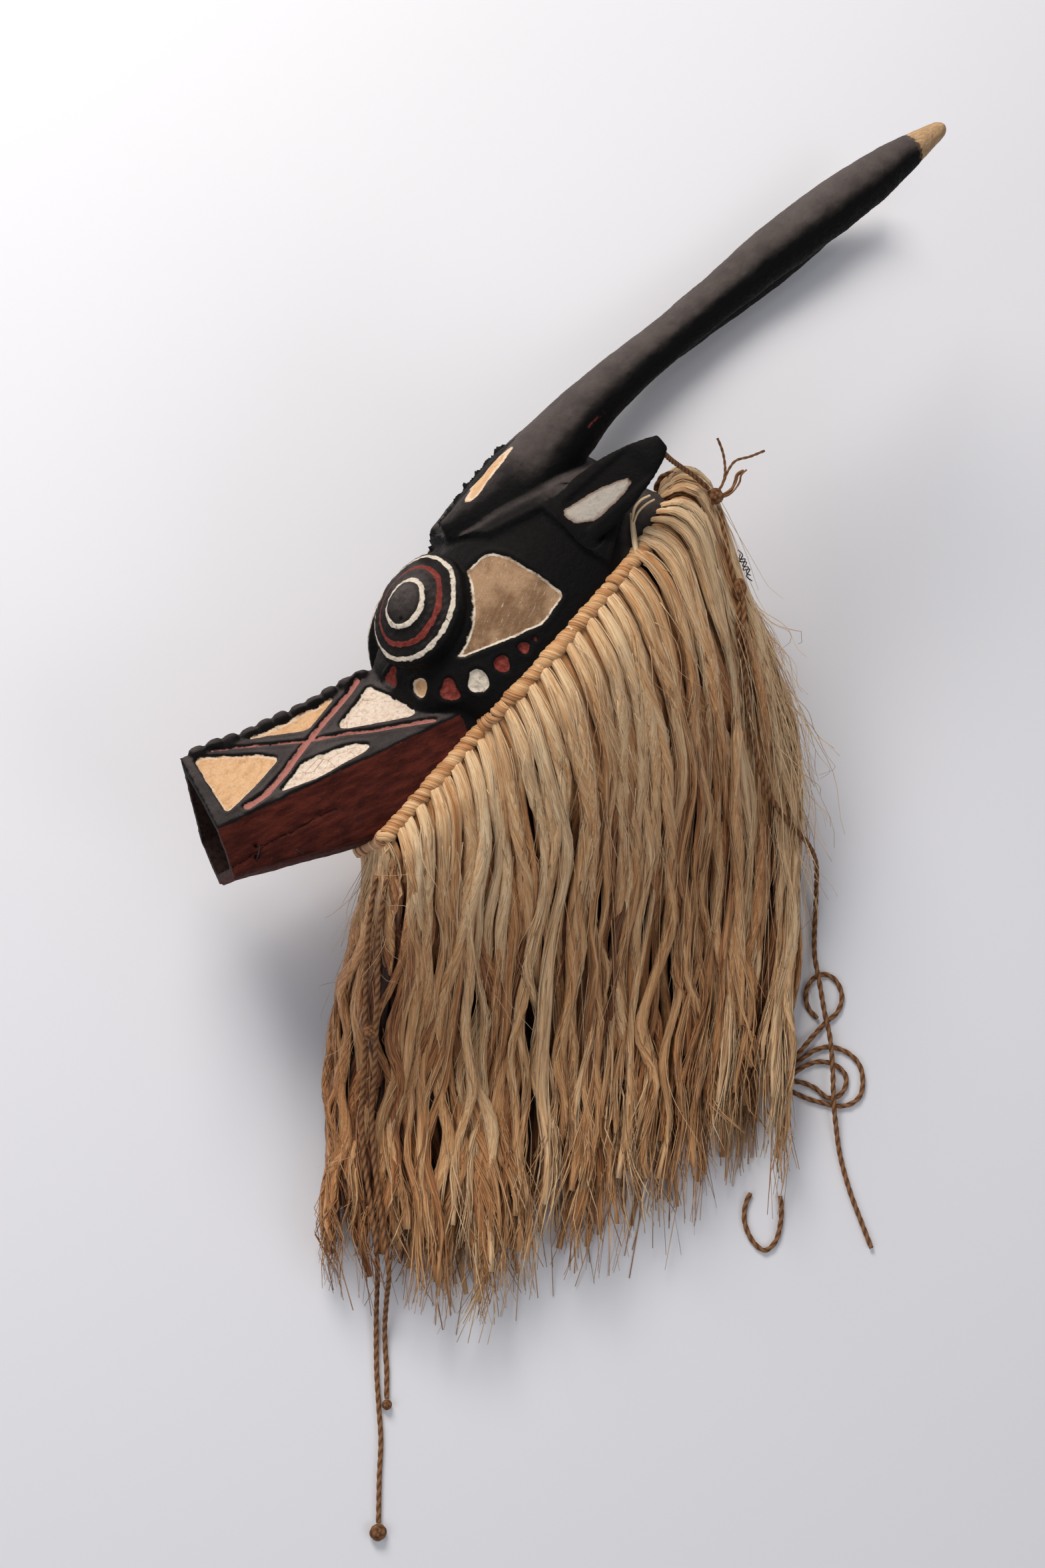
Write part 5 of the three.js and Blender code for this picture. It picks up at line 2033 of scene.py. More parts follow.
ROUTES = (
    CordRoute("ear_cord", (
        (74.5, 211, 236), (83.5, 210.5, 216), (95.5, 209.5, 194), (109, 207, 174), (122, 202, 158),
    ), far_end="knot"),
    CordRoute("arch_cord", (
        (91.5, 204, 131), (92.2, 208, 134), (95, 212.5, 138), (100.5, 214, 142), (107.5, 212.5, 145),
        (115, 209, 148.5), (121.5, 204.5, 150.5),
    ), far_end="knot"),
    CordRoute("back_cord", (
        (132.5, 188.5, 149.5), (135, 178.5, 148), (138, 159.5, 149), (141, 145, 150.5), (144.5, 132, 151.5),
        (145, 119, 152.5), (144.5, 105, 152), (147.5, 93, 146.5), (151.5, 79, 139), (157, 56, 128),
        (164.5, 29, 114.5), (175.5, 4, 102), (191, -14, 84.5), (206, -24, 68), (219.5, -33, 50),
        (230, -44, 30), (235, -62, 12), (236, -84, 3.6), (235.5, -108, 4), (237.5, -124.5, 7.2),
        (242, -150.5, 7.2),
        (245.5, -166.5, 7.2), (247.5, -190, 7.2), (248, -212, 7.2), (250.5, -232, 4.5),
        (254, -252, 2.4), (261, -277, 2.2), (270, -300.5, 2.2), (276.5, -317, 2.2),
    ), tied=(
        "back_knot", "back_cord_knot", "back_cord_twin", "back_tail_straight", "back_tail_right",
        "back_tail_brush", "back_tail_brush_outer",
    )),
    CordRoute("back_cord_loop", (
        (237.5, -153.5, 2.2), (231, -146, 2.2), (229.5, -135.5, 2.2), (234, -126, 2.2), (243.5, -122, 2.2),
        (252, -127, 2.2), (256, -138, 2.2), (252.5, -149, 2.2), (244.5, -156, 2.2), (235, -165.5, 3),
        (226.5, -174.5, 5.5), (219.5, -182.5, 7.2), (213.5, -189, 7.2),
    )),
    CordRoute("back_cord_outer_ring", on_table(
        (215.5, -204.5), (222, -207.5), (230.5, -211), (241.5, -214), (253, -216), (262, -214.5),
        (269, -208.5), (271, -197), (268.5, -186.5), (262, -179.5), (253, -175), (244, -174),
        (235.5, -176.5), (227.5, -181.5), (221.5, -186), (216.5, -189.5),
    )),
    CordRoute("back_cord_inner_ring", on_table(
        (217.5, -198.5), (226.5, -199.5), (236, -203.5), (244.5, -210), (252, -209.5), (258, -202.5),
        (258, -193.5), (250, -186.5), (238.5, -184.5), (227.5, -188), (219.5, -193.5),
    )),
    CordRoute("back_cord_bight", on_table(
        (188, -278), (184.5, -285.5), (183.5, -298), (189.5, -312), (198, -318.5), (205.5, -313),
        (209.5, -301), (210.5, -288.5), (209.5, -280),
    )),
    CordRoute("front_cord", (
        (-106, -67, 156), (-108, -90, 143), (-107.5, -114, 126), (-105, -138, 105), (-103.5, -153, 94.5),
        (-102, -168, 84.5), (-100, -194.5, 67), (-99, -222, 50), (-96, -255, 41.5), (-91, -287, 40.5),
        (-87, -314, 39), (-83, -338, 19), (-81.5, -362, 5.5), (-81, -385, 2.5), (-80.5, -403.5, 2.2),
        (-79, -426, 2.2), (-77.5, -448.5, 2.2), (-78.5, -475, 2.2), (-79, -506, 2.2),
    ), far_end="knot", tied=("front_cord_end_knot", "front_cord_knot")),
    CordRoute("front_cord_return", (
        (-100.5, -68, 166), (-101.5, -90.5, 150), (-100.5, -113.5, 129.5), (-98, -138, 113),
        (-97, -153.5, 101), (-95.5, -168.5, 90.5), (-93.5, -194.5, 72), (-92.5, -222.5, 53),
        (-89.5, -255, 44), (-85, -287, 42), (-81, -314, 40.5), (-78, -332, 38.5), (-76.5, -352, 19),
        (-75.5, -372, 5.5), (-74.5, -388, 2.6), (-73.5, -400, 2.2), (-73.5, -412, 2.2), (-73.5, -420.5, 2.2),
    ), far_end="knot", tied=("front_cord_hitch",)),
)


def cord_to_row(points: Array) -> Array:
    """Turns (x, y, height) in millimetres into the row frame in metres."""
    return lying_to_row(np.asarray(points, float) - np.array([0, 0, HALF_WIDTH]))


@dataclass(frozen=True)
class Twine:
    """Two-ply cord of plant fibre."""

    diameter: float = 3.8
    lay: float = 15.0
    step: float = 1.4
    sides: int = 14

    def rings(self, line: Array) -> tuple[Array, Array]:
        """Rings of the twisted section along a line of centres, and the depth between its plies.

        Args:
            line: Centres, one per row.

        Returns:
            Rings as (place, side, coordinate), and a share for each point that is 0 between the plies.
        """
        along = unit(np.gradient(line, axis=0))
        side = np.empty_like(along)
        guide = np.array([0.0, 0.0, 1.0])
        if abs(along[0] @ guide) > 0.9:
            guide = np.array([1.0, 0.0, 0.0])
        side[0] = unit(guide - along[0] * (guide @ along[0]))
        for i in range(1, len(line)):
            side[i] = unit(side[i - 1] - along[i] * (side[i - 1] @ along[i]))
        up = np.cross(along, side)
        run = self.step * np.arange(len(line))
        angle = (2 * np.pi * np.arange(self.sides) / self.sides)[None, :]
        turn = 2 * np.pi * run[:, None] / self.lay
        waist = np.abs(np.cos(angle)) ** 0.75
        reach = self.diameter / 2 * (0.66 + 0.36 * waist)
        c, d = np.cos(angle + turn) * reach, np.sin(angle + turn) * reach
        rings = line[:, None] + c[..., None] * side[:, None] + d[..., None] * up[:, None]
        return rings, np.broadcast_to(waist, (len(line), self.sides))

    def build(self, name: str, line: Array) -> bpy.types.Object:
        """Makes the cord along a line of (x, y, height) points.

        Args:
            name: Name of the object.
            line: Centres of the cord, at even steps.

        Returns:
            The mesh object.
        """
        rings, waist = self.rings(line)
        keep_above(rings, 0.05)
        rows, columns = rings.shape[:2]
        points = np.vstack([rings.reshape(-1, 3), line[:1], line[-1:]])
        sides = grid_faces(rows, columns, True).reshape(-1, 4)
        obj = build_mesh(name, cord_to_row(points), [sides, *end_fans(rows, columns)])
        # Painted shade: the share is 0 in the groove between the plies, where the colour goes darkest
        set_float(obj.data, "ply", np.concatenate([waist.ravel(), [1, 1]]))
        shade(obj)
        return obj


@dataclass(frozen=True)
class Knot:
    """Tight knot, a lumpy bundle of turns."""

    name: str
    at: tuple
    half: tuple

    def build(self) -> bpy.types.Object:
        """Makes the knot as one closed lump with turns standing out.

        Returns:
            The mesh object.
        """
        a = np.linspace(0.02, np.pi - 0.02, 40)[:, None]
        b = np.linspace(0, 2 * np.pi, 56, endpoint=False)[None, :]
        turns = 0.12 * np.abs(np.sin(2.5 * a + b)) + 0.1 * np.abs(np.sin(2 * b - 3 * a)) - 0.13
        reach = 1 + turns
        x, y, z = np.sin(a) * np.cos(b), np.sin(a) * np.sin(b), np.cos(a) + 0 * b
        shape = np.stack([x, y, z], axis=-1) * reach[..., None] * np.array(self.half)
        rings = shape + np.array(self.at)
        keep_above(rings, 0.05)
        solid = Solid.through(rings)
        obj = build_mesh(self.name, cord_to_row(solid.points), solid.faces)
        # Painted shade in the grooves between the knot's turns
        set_float(obj.data, "ply", np.concatenate([np.clip(0.5 + turns.ravel() * 4, 0, 1), [1, 1]]))
        shade(obj)
        return obj


KNOTS = (
    Knot("back_knot", (128, 197, 153), (6.2, 5.6, 5.5)),
    Knot("front_cord_hitch", (-73.5, -424.6, 3.8), (3.4, 3.6, 3.4)),
    Knot("front_cord_end_knot", (-79.5, -512.3, 4.4), (5.8, 5.8, 4)),
    Knot("back_cord_knot", (145, 133.5, 153.5), (4.8, 7.2, 4.2)),
    Knot("front_cord_knot", (-99.5, -169, 87.5), (5.2, 5.0, 4.4)),
)


@dataclass(frozen=True)
class Tail:
    """Frayed tail of a cord or end of wire: its route and thickness."""

    name: str
    route: tuple
    diameter: float = 2.0
    lay: float = 9.0

    def build(self, step: float, sides: int) -> bpy.types.Object:
        """Makes it as a thin twisted cord, with rings every step and the given sides."""
        return Twine(self.diameter, self.lay, step, sides).build(self.name, spline(self.route, step))


TAILS = (
    Tail("back_tail_straight", (
        (128, 198, 153), (133, 205, 154), (135, 213, 154.5), (134.5, 222, 155), (132.6, 229.6, 155.5),
        (129.4, 237, 156),
    )),
    Tail("back_tail_right", (
        (130, 199, 153), (134, 207, 154), (137, 214.4, 154), (142.4, 221.8, 154), (153, 225.4, 153),
        (163.6, 230, 151.5),
    )),
    Tail("back_tail_brush", (
        (130, 197, 153), (135.5, 199, 152), (140.5, 203, 151.5), (143.3, 208.7, 151), (144.7, 213, 150.5),
        (149, 216, 150),
    ), 2.6, 30.0),
    Tail("back_tail_brush_outer", (
        (130, 196.5, 153.5), (136, 197.5, 153), (142, 202, 152.5), (146, 208, 152), (147, 212.5, 151.5),
        (151, 216.5, 151),
    ), 1.5, 30.0),
    Tail("back_cord_twin", (
        (147, 130, 155), (148, 118, 155), (147.5, 106, 155), (150.5, 94, 150.5), (154, 82, 144),
    ), 3.6, 15.0),
)
WIRES = (
    Tail("back_wire", (
        (144.7, 161, 151), (147.5, 157, 153), (146, 153, 151), (150, 152, 154), (148, 147, 152),
        (152.5, 147.5, 153), (151, 143, 150), (154.9, 139.7, 150),
    ), 0.9, 40.0),
    Tail("back_wire_return", (
        (146, 158, 152), (145, 154, 154), (149.5, 154.5, 152), (147.5, 149.5, 154), (152, 149, 151),
        (150, 145, 153), (153.5, 143.5, 151),
    ), 0.9, 40.0),
)
# Wire stitches along the crack and the lower edge of the snout, as (s, t, z)
STITCHES = (
    ("snout_staple", (
        (15, 16.5, 45), (15.6, 14.6, 48), (13.8, 11.5, 48), (11.4, 8.6, 46.6), (10.6, 7.6, 43.5),
    )),
    ("snout_stitch", (
        (37, 3.5, 44), (38.5, 0.5, 45.5), (41.5, -2.5, 43), (45, -3.5, 38), (47, -2.5, 33),
    )),
)


# Materials
Socket = bpy.types.NodeSocket
Value = Socket | float
Tone = Socket | str


def linear(code: str) -> tuple[float, float, float, float]:
    """Turns an sRGB hex colour into linear RGBA.

    Args:
        code: Colour as #rrggbb.

    Returns:
        Red, green, blue and alpha.
    """
    values = [int(code[i : i + 2], 16) / 255 for i in (1, 3, 5)]
    out = [v / 12.92 if v <= 0.04045 else ((v + 0.055) / 1.055) ** 2.4 for v in values]
    return (*out, 1.0)


def add(tree: bpy.types.NodeTree, kind: str, links: dict | None = None, **settings: object) -> bpy.types.Node:
    """Adds a node with its settings, and links or fills its sockets.

    Args:
        tree: Node tree to add to.
        kind: Type of the node.
        links: Sockets by name or number, each with an output socket or a value.
        settings: Attributes of the node.

    Returns:
        The new node.
    """
    node = tree.nodes.new(kind)
    for key, value in settings.items():
        setattr(node, key, value)
    for key, value in (links or {}).items():
        if isinstance(value, Socket):
            tree.links.new(value, node.inputs[key])
        else:
            node.inputs[key].default_value = value
    return node


@dataclass
class Paintbox:
    """Node tree of one material, with shorthand for the patterns used here."""

    name: str
    tree: bpy.types.NodeTree = field(init=False)
    material: bpy.types.Material = field(init=False)

    def __post_init__(self) -> None:
        """Starts the material with an empty tree."""
        self.material = bpy.data.materials.new(self.name)
        self.material.use_nodes = True
        self.tree = self.material.node_tree
        self.tree.nodes.clear()

    def value(self, name: str) -> Socket:
        """Reads a vertex attribute."""
        return add(self.tree, "ShaderNodeAttribute", attribute_name=name).outputs["Fac"]

    def place(self) -> Socket:
        """Object coordinates in metres."""
        return add(self.tree, "ShaderNodeTexCoord").outputs["Object"]

    def stretched(self, scale: tuple, turn: tuple = (0, 0, 0)) -> Socket:
        """Object coordinates turned, then drawn out by the given lengths."""
        links = {"Vector": self.place(), "Rotation": turn, "Scale": scale}
        return add(self.tree, "ShaderNodeMapping", links, vector_type="TEXTURE").outputs["Vector"]

    def noise(
        self, size: float, detail: float = 3.0, rough: float = 0.55, at: Socket | None = None,
    ) -> Socket:
        """Noise from 0 to 1 with features of about the given size in millimetres."""
        links = {"Vector": at or self.place(), "Scale": 1000.0 / size, "Detail": detail, "Roughness": rough}
        return add(self.tree, "ShaderNodeTexNoise", links).outputs["Fac"]

    def sum(self, a: Value, b: Value, kind: str = "ADD") -> Socket:
        """Maths on two values or sockets."""
        return add(self.tree, "ShaderNodeMath", {0: a, 1: b}, operation=kind).outputs[0]

    def less(self, a: Value, b: Value) -> Socket:
        """One value less another."""
        return self.sum(a, b, "SUBTRACT")

    def times(self, *values: Value) -> Socket:
        """Product of two or more values.

        Args:
            values: Numbers or sockets.

        Returns:
            Socket of the product.
        """
        product = values[0]
        for value in values[1:]:
            product = self.sum(product, value, "MULTIPLY")
        return product

    def coats(self, tone: Tone, *layers: tuple) -> Socket:
        """Lays tones over a first one, each as its share and its colour.

        Args:
            tone: Colour at the bottom.
            layers: Pairs of a share and a colour.

        Returns:
            Socket of the colour on top.
        """
        for share, over in layers:
            tone = self.mix(share, tone, over)
        return tone

    def ramp(self, value: Value, low: float, high: float, a: float = 0.0, b: float = 1.0) -> Socket:
        """Smooth step of a value from a to b.

        Args:
            value: Value to read.
            low: Where the step starts.
            high: Where it ends.
            a: Result before the step.
            b: Result after it.

        Returns:
            Socket of the result.
        """
        links = {"Value": value, 1: low, 2: high, 3: a, 4: b}
        node = add(self.tree, "ShaderNodeMapRange", links, interpolation_type="SMOOTHSTEP", clamp=True)
        return node.outputs[0]

    def mix(self, factor: Value, a: Tone, b: Tone) -> Socket:
        """Mixes two colours.

        Args:
            factor: Share of the second colour.
            a: First colour, a socket or hex code.
            b: Second colour, likewise.

        Returns:
            Socket of the mixed colour.
        """
        tone = lambda c: linear(c) if isinstance(c, str) else c
        links = {0: factor, 6: tone(a), 7: tone(b)}
        return add(self.tree, "ShaderNodeMix", links, data_type="RGBA").outputs[2]

    def colours(self, value: Value, stops: list[tuple[float, str]]) -> Socket:
        """Colour ramp through hex colours.

        Args:
            value: Place on the ramp.
            stops: Pairs of a place and a hex code.

        Returns:
            Socket of the colour.
        """
        node = add(self.tree, "ShaderNodeValToRGB", {"Fac": value})
        ramp = node.color_ramp
        while len(ramp.elements) < len(stops):
            ramp.elements.new(1.0)
        for element, (at, code) in zip(ramp.elements, stops):
            element.position = at
            element.color = linear(code)
        return node.outputs["Color"]

    def finish(
        self, colour: Tone, rough: Value, bumps: list[tuple], specular: float = 0.5, **more: float,
    ) -> bpy.types.Material:
        """Ends the tree in one shader.

        Args:
            colour: Base colour, a socket or hex code.
            rough: Roughness, a socket or number.
            bumps: Pairs of height socket and depth in millimetres.
            specular: Level of the plain reflection.
            more: Further sockets of the shader, with spaces written as underscores.

        Returns:
            The finished material.
        """
        normal = None
        for height, depth in bumps:
            links = {"Height": height, "Distance": depth * MM, "Strength": 1.0}
            if normal is not None:
                links["Normal"] = normal
            normal = add(self.tree, "ShaderNodeBump", links).outputs["Normal"]
        base = linear(colour) if isinstance(colour, str) else colour
        links = {"Base Color": base, "Roughness": rough, "Specular IOR Level": specular}
        if normal is not None:
            links["Normal"] = normal
        links.update({key.replace("_", " "): value for key, value in more.items()})
        shader = add(self.tree, "ShaderNodeBsdfPrincipled", links)
        add(self.tree, "ShaderNodeOutputMaterial", {"Surface": shader.outputs[0]})
        return self.material


@dataclass(frozen=True)
class PaintedWood:
    """Carved wood under thick hand-brushed earth paints, worn, with grey dusting and painted sheen on the
    sides that face the light.
    """

    black: str = "#0d0c0c"
    dust_and_sheen_grey: str = "#5e5654"
    dry: str = "#4e4643"
    tan: str = "#d0a880"
    cream: str = "#d9c8b8"
    white: str = "#cfc4b4"
    leaf: str = "#aaa197"
    pink: str = "#a56b62"
    red: str = "#6c2a24"
    maroon: str = "#36140f"
    cheek: str = "#80634b"
    bare: str = "#a88763"
    inside: str = "#3a2a26"
    line: str = "#e4dac8"
    # Direction that the grey dusting and the painted sheen come from, on the side of the key light
    dust_and_light_from: tuple = (-0.35, 0.9, 0.25)
    # Size in millimetres of the cells between the fine cracks of the pale paint
    crackle: float = 11.0

    def make(self) -> bpy.types.Material:
        """Builds the material from the painted areas kept on the mask.

        Returns:
            The finished material.
        """
        box = Paintbox("carved wood, hand painted")
        middle = lambda size, by: box.times(box.less(box.noise(size, 2), 0.5), by)
        shake = box.sum(middle(8, 2.4), middle(1.8, 0.7))
        cloud, patch = box.noise(38, 4), box.noise(13, 4, 0.6)
        speck, grit = box.noise(1.1, 4, 0.7), box.noise(3.0, 5, 0.65)

        def edge(kind: Paint, low: float, high: float, a: float = 1.0, b: float = 0.0) -> Socket:
            """Smooth step over the hand-brushed edge of an area."""
            return box.ramp(box.sum(box.value(kind.value), shake), low, high, a, b)

        def sharp(kind: Paint, low: float, high: float, a: float = 1.0, b: float = 0.0) -> Socket:
            """Smooth step over the true edge of an area."""
            return box.ramp(box.value(kind.value), low, high, a, b)

        def streaks(size: float, length: float, degrees: float) -> Socket:
            """Brush marks drawn out in one direction."""
            at = box.stretched((length, 1.0, 1.0), (0, 0, math.radians(degrees)))
            return box.noise(size, 5, 0.68, at)

        up = add(box.tree, "ShaderNodeNewGeometry").outputs["Normal"]
        facing_light = add(
            box.tree, "ShaderNodeVectorMath", {0: up, 1: self.dust_and_light_from}, operation="DOT_PRODUCT",
        ).outputs["Value"]
        # Grey on the sides that face the light: partly real dusting in specks and clouds, partly painted
        # sheen, with little of it on the hood behind the eyes
        dust_and_sheen = box.times(
            box.ramp(facing_light, 0.45, 1.0), box.ramp(cloud, 0.3, 0.7, 0.5, 1.0),
            box.ramp(speck, 0.3, 0.7, 0.6, 1.0), sharp(Paint.CLEAN, -4, 4, 0.12, 1.0), 0.85,
        )
        # The dry grey wood shows more on the sides that face the light: painted light over the real dry patch
        dry = box.times(
            edge(Paint.DRY, -6, 6), box.ramp(facing_light, -0.2, 0.6), box.ramp(patch, 0.3, 0.7, 0.6, 1.0),
        )
        rust = box.times(box.ramp(patch, 0.6, 0.72, 0.0, 0.5), sharp(Paint.MAROON, 4, 0, 0.0, 1.0))
        colour = box.coats(
            self.black, (box.ramp(grit, 0.4, 0.8, 0.0, 0.5), "#171413"), (dry, self.dry), (dust_and_sheen, self.dust_and_sheen_grey),
            (rust, "#5a3426"),
        )
        maroon = box.coats(
            self.maroon,
            (box.ramp(streaks(5, 5, 26), 0.35, 0.7), "#54241b"),
            (box.ramp(patch, 0.5, 0.75, 0.0, 0.7), "#1d0e0d"),
            (box.ramp(grit, 0.66, 0.76, 0.0, 0.6), "#8a4a2a"),
        )
        colour = box.mix(edge(Paint.MAROON, -0.6, 0.6), colour, maroon)
        specked = box.ramp(speck, 0.5, 0.75, 0.0, 0.6)
        cells = add(
            box.tree, "ShaderNodeTexVoronoi", {"Vector": box.place(), "Scale": 1000 / self.crackle},
            feature="DISTANCE_TO_EDGE",
        ).outputs["Distance"]
        crackle = box.times(box.ramp(cells, 0.0, 0.03, 1.0, 0.0), box.ramp(patch, 0.45, 0.6))
        tan = box.coats(
            self.tan, (box.ramp(streaks(4.5, 5, 60), 0.38, 0.68), "#c29468"), (specked, "#e6cdb0"),
        )
        chalk = box.coats(
            self.cream, (box.ramp(grit, 0.4, 0.72), "#c2a78f"), (specked, "#f2e8da"), (crackle, "#8d7460"),
        )
        white = box.mix(box.ramp(grit, 0.45, 0.75, 0.0, 0.7), self.white, "#94816c")
        leaf = box.coats(
            self.leaf, (box.ramp(grit, 0.5, 0.8, 0.0, 0.35), "#7d7267"),
            (edge(Paint.LEAF, -2.6, -0.4, 0.0, 0.7), "#6d5341"),
        )
        pink = box.mix(box.ramp(grit, 0.4, 0.75, 0.0, 0.7), self.pink, "#a8776d")
        red = box.mix(box.ramp(grit, 0.4, 0.72, 0.0, 0.8), self.red, "#8a4a40")
        cheek = box.coats(
            "#75583f", (box.ramp(streaks(2.2, 12, 66), 0.36, 0.62), self.cheek),
            (box.ramp(box.noise(24, 3), 0.4, 0.62, 0.0, 0.7), "#ab8b6c"),
            (box.ramp(streaks(0.9, 6, 68), 0.58, 0.7, 0.0, 0.55), "#cfc0ae"),
            (box.ramp(grit, 0.62, 0.72, 0.0, 0.5), "#5a3f2d"),
        )
        worn = box.ramp(box.noise(4.2, 5, 0.72), 0.55, 0.64, 0.0, 0.9)
        # Area, tone, share worn off and share of the pale line along its edge
        for kind, tone, wear, lined in (
            (Paint.TAN, tan, 0.25, 0.5), (Paint.CREAM, chalk, 0.25, 0.4), (Paint.WHITE, white, 0.55, 0.0),
            (Paint.LEAF, leaf, 0.2, 0.0), (Paint.PINK, pink, 0.3, 0.0), (Paint.RED, red, 0.45, 0.0),
            (Paint.CHEEK, cheek, 0.12, 0.8),
        ):
            if lined:
                line = edge(kind, -1.7, -0.9, 0.0, 1.0)
                tone = box.mix(box.times(line, box.ramp(patch, 0.38, 0.55, 0.1, 1.0), lined), tone, self.line)
            kept = box.less(1.0, box.times(worn, wear))
            colour = box.mix(box.times(edge(kind, -0.3, 0.3), kept), colour, tone)
        bare = box.mix(box.ramp(streaks(2, 9, 40), 0.4, 0.7), self.bare, "#c4a480")
        inside = box.mix(box.ramp(grit, 0.35, 0.7), self.inside, "#241917")
        # The cracks are painted near black, a painted shadow inside them
        colour = box.coats(
            colour, (edge(Paint.BARE, -1.2, 1.2), bare), (sharp(Paint.INSIDE, -1, 1), inside),
            (sharp(Paint.CRACK, -0.3, 0.3, 0.85), "#0e0807"),
        )
        rough = box.ramp(grit, 0.3, 0.7, 0.55, 0.8)
        bumps = [(streaks(2.4, 5, 26), 0.3), (box.noise(5.5, 4, 0.6), 0.7), (grit, 0.75), (speck, 0.2)]
        return box.finish(colour, rough, bumps, 0.07)


@dataclass(frozen=True)
class Fibre:
    """Pale gold plant fibre, split flat and combed into locks."""

    def make(self) -> bpy.types.Material:
        """Builds the material from the strips' strand place, tip, tint and darkness, which on the locks is
        painted shade.

        Returns:
            The finished material.
        """
        box = Paintbox("split plant fibre, combed")
        place = add(box.tree, "ShaderNodeAttribute", attribute_name="strand").outputs["Vector"]
        tint, deep, tip = box.value("tint"), box.value("deep"), box.value("tip")
        shift = add(box.tree, "ShaderNodeCombineXYZ", {2: box.times(tint, 37.0)}).outputs[0]

        def strand(across: float, along: float) -> Socket:
            """Streaks with the given size across and along the fibre, in millimetres.

            Args:
                across: Size across the fibre.
                along: Size along it.

            Returns:
                Socket of the streaks.
            """
            links = {0: place, 1: (1000 / across, 1000 / across, 1000 / along), 2: shift}
            spread = add(box.tree, "ShaderNodeVectorMath", links, operation="MULTIPLY_ADD")
            links = {"Vector": spread.outputs[0], "Scale": 1.0, "Detail": 3.0, "Roughness": 0.6}
            return add(box.tree, "ShaderNodeTexNoise", links).outputs["Fac"]

        fine, broad = strand(0.42, 70), strand(1.3, 110)
        value = box.sum(box.sum(box.times(tint, 0.38), box.times(fine, 0.8)), broad)
        # Painted shade: the strips' darkness takes the fibre down the ramp
        value = box.less(value, box.sum(box.times(deep, 0.4), 0.37))
        value = box.less(value, box.ramp(tip, 0.1, 0.9, 0.0, 0.03))
        colour = box.colours(value, [
            (0.0, "#351a0a"), (0.16, "#7b4622"), (0.34, "#b27643"), (0.55, "#d3a06b"), (0.82, "#f0d1a6"),
        ])
        rough = box.ramp(fine, 0.3, 0.7, 0.38, 0.55)
        return box.finish(colour, rough, [(broad, 1.0), (fine, 0.5)], 0.4, Sheen_Weight=0.1)


@dataclass(frozen=True)
class CordFibre:
    """Brown twisted cord of plant fibre, with painted shade between its plies."""

    def make(self) -> bpy.types.Material:
        """Builds the material from the painted shade between the plies kept on each cord.

        Returns:
            The finished material.
        """
        box = Paintbox("two-ply plant fibre cord")
        hair = box.noise(0.7, 4, 0.7)
        # Painted shade between the plies, over fine hairs
        value = box.sum(box.times(box.value("ply"), 0.55), box.times(hair, 0.6))
        colour = box.colours(value, [
            (0.15, "#24140a"), (0.45, "#573822"), (0.75, "#855b3a"), (1.0, "#a97d56"),
        ])
        return box.finish(colour, 0.8, [(hair, 0.35)], 0.3)


def plain_material(name: str, code: str, rough: float, bumps: float = 0.0) -> bpy.types.Material:
    """Single colour material with light unevenness.

    Args:
        name: Name of the material.
        code: Hex colour.
        rough: Roughness.
        bumps: Depth of the unevenness in millimetres.

    Returns:
        The finished material.
    """
    box = Paintbox(name)
    heights = [(box.noise(3, 3), bumps)] if bumps else []
    return box.finish(code, rough, heights, 0.4)


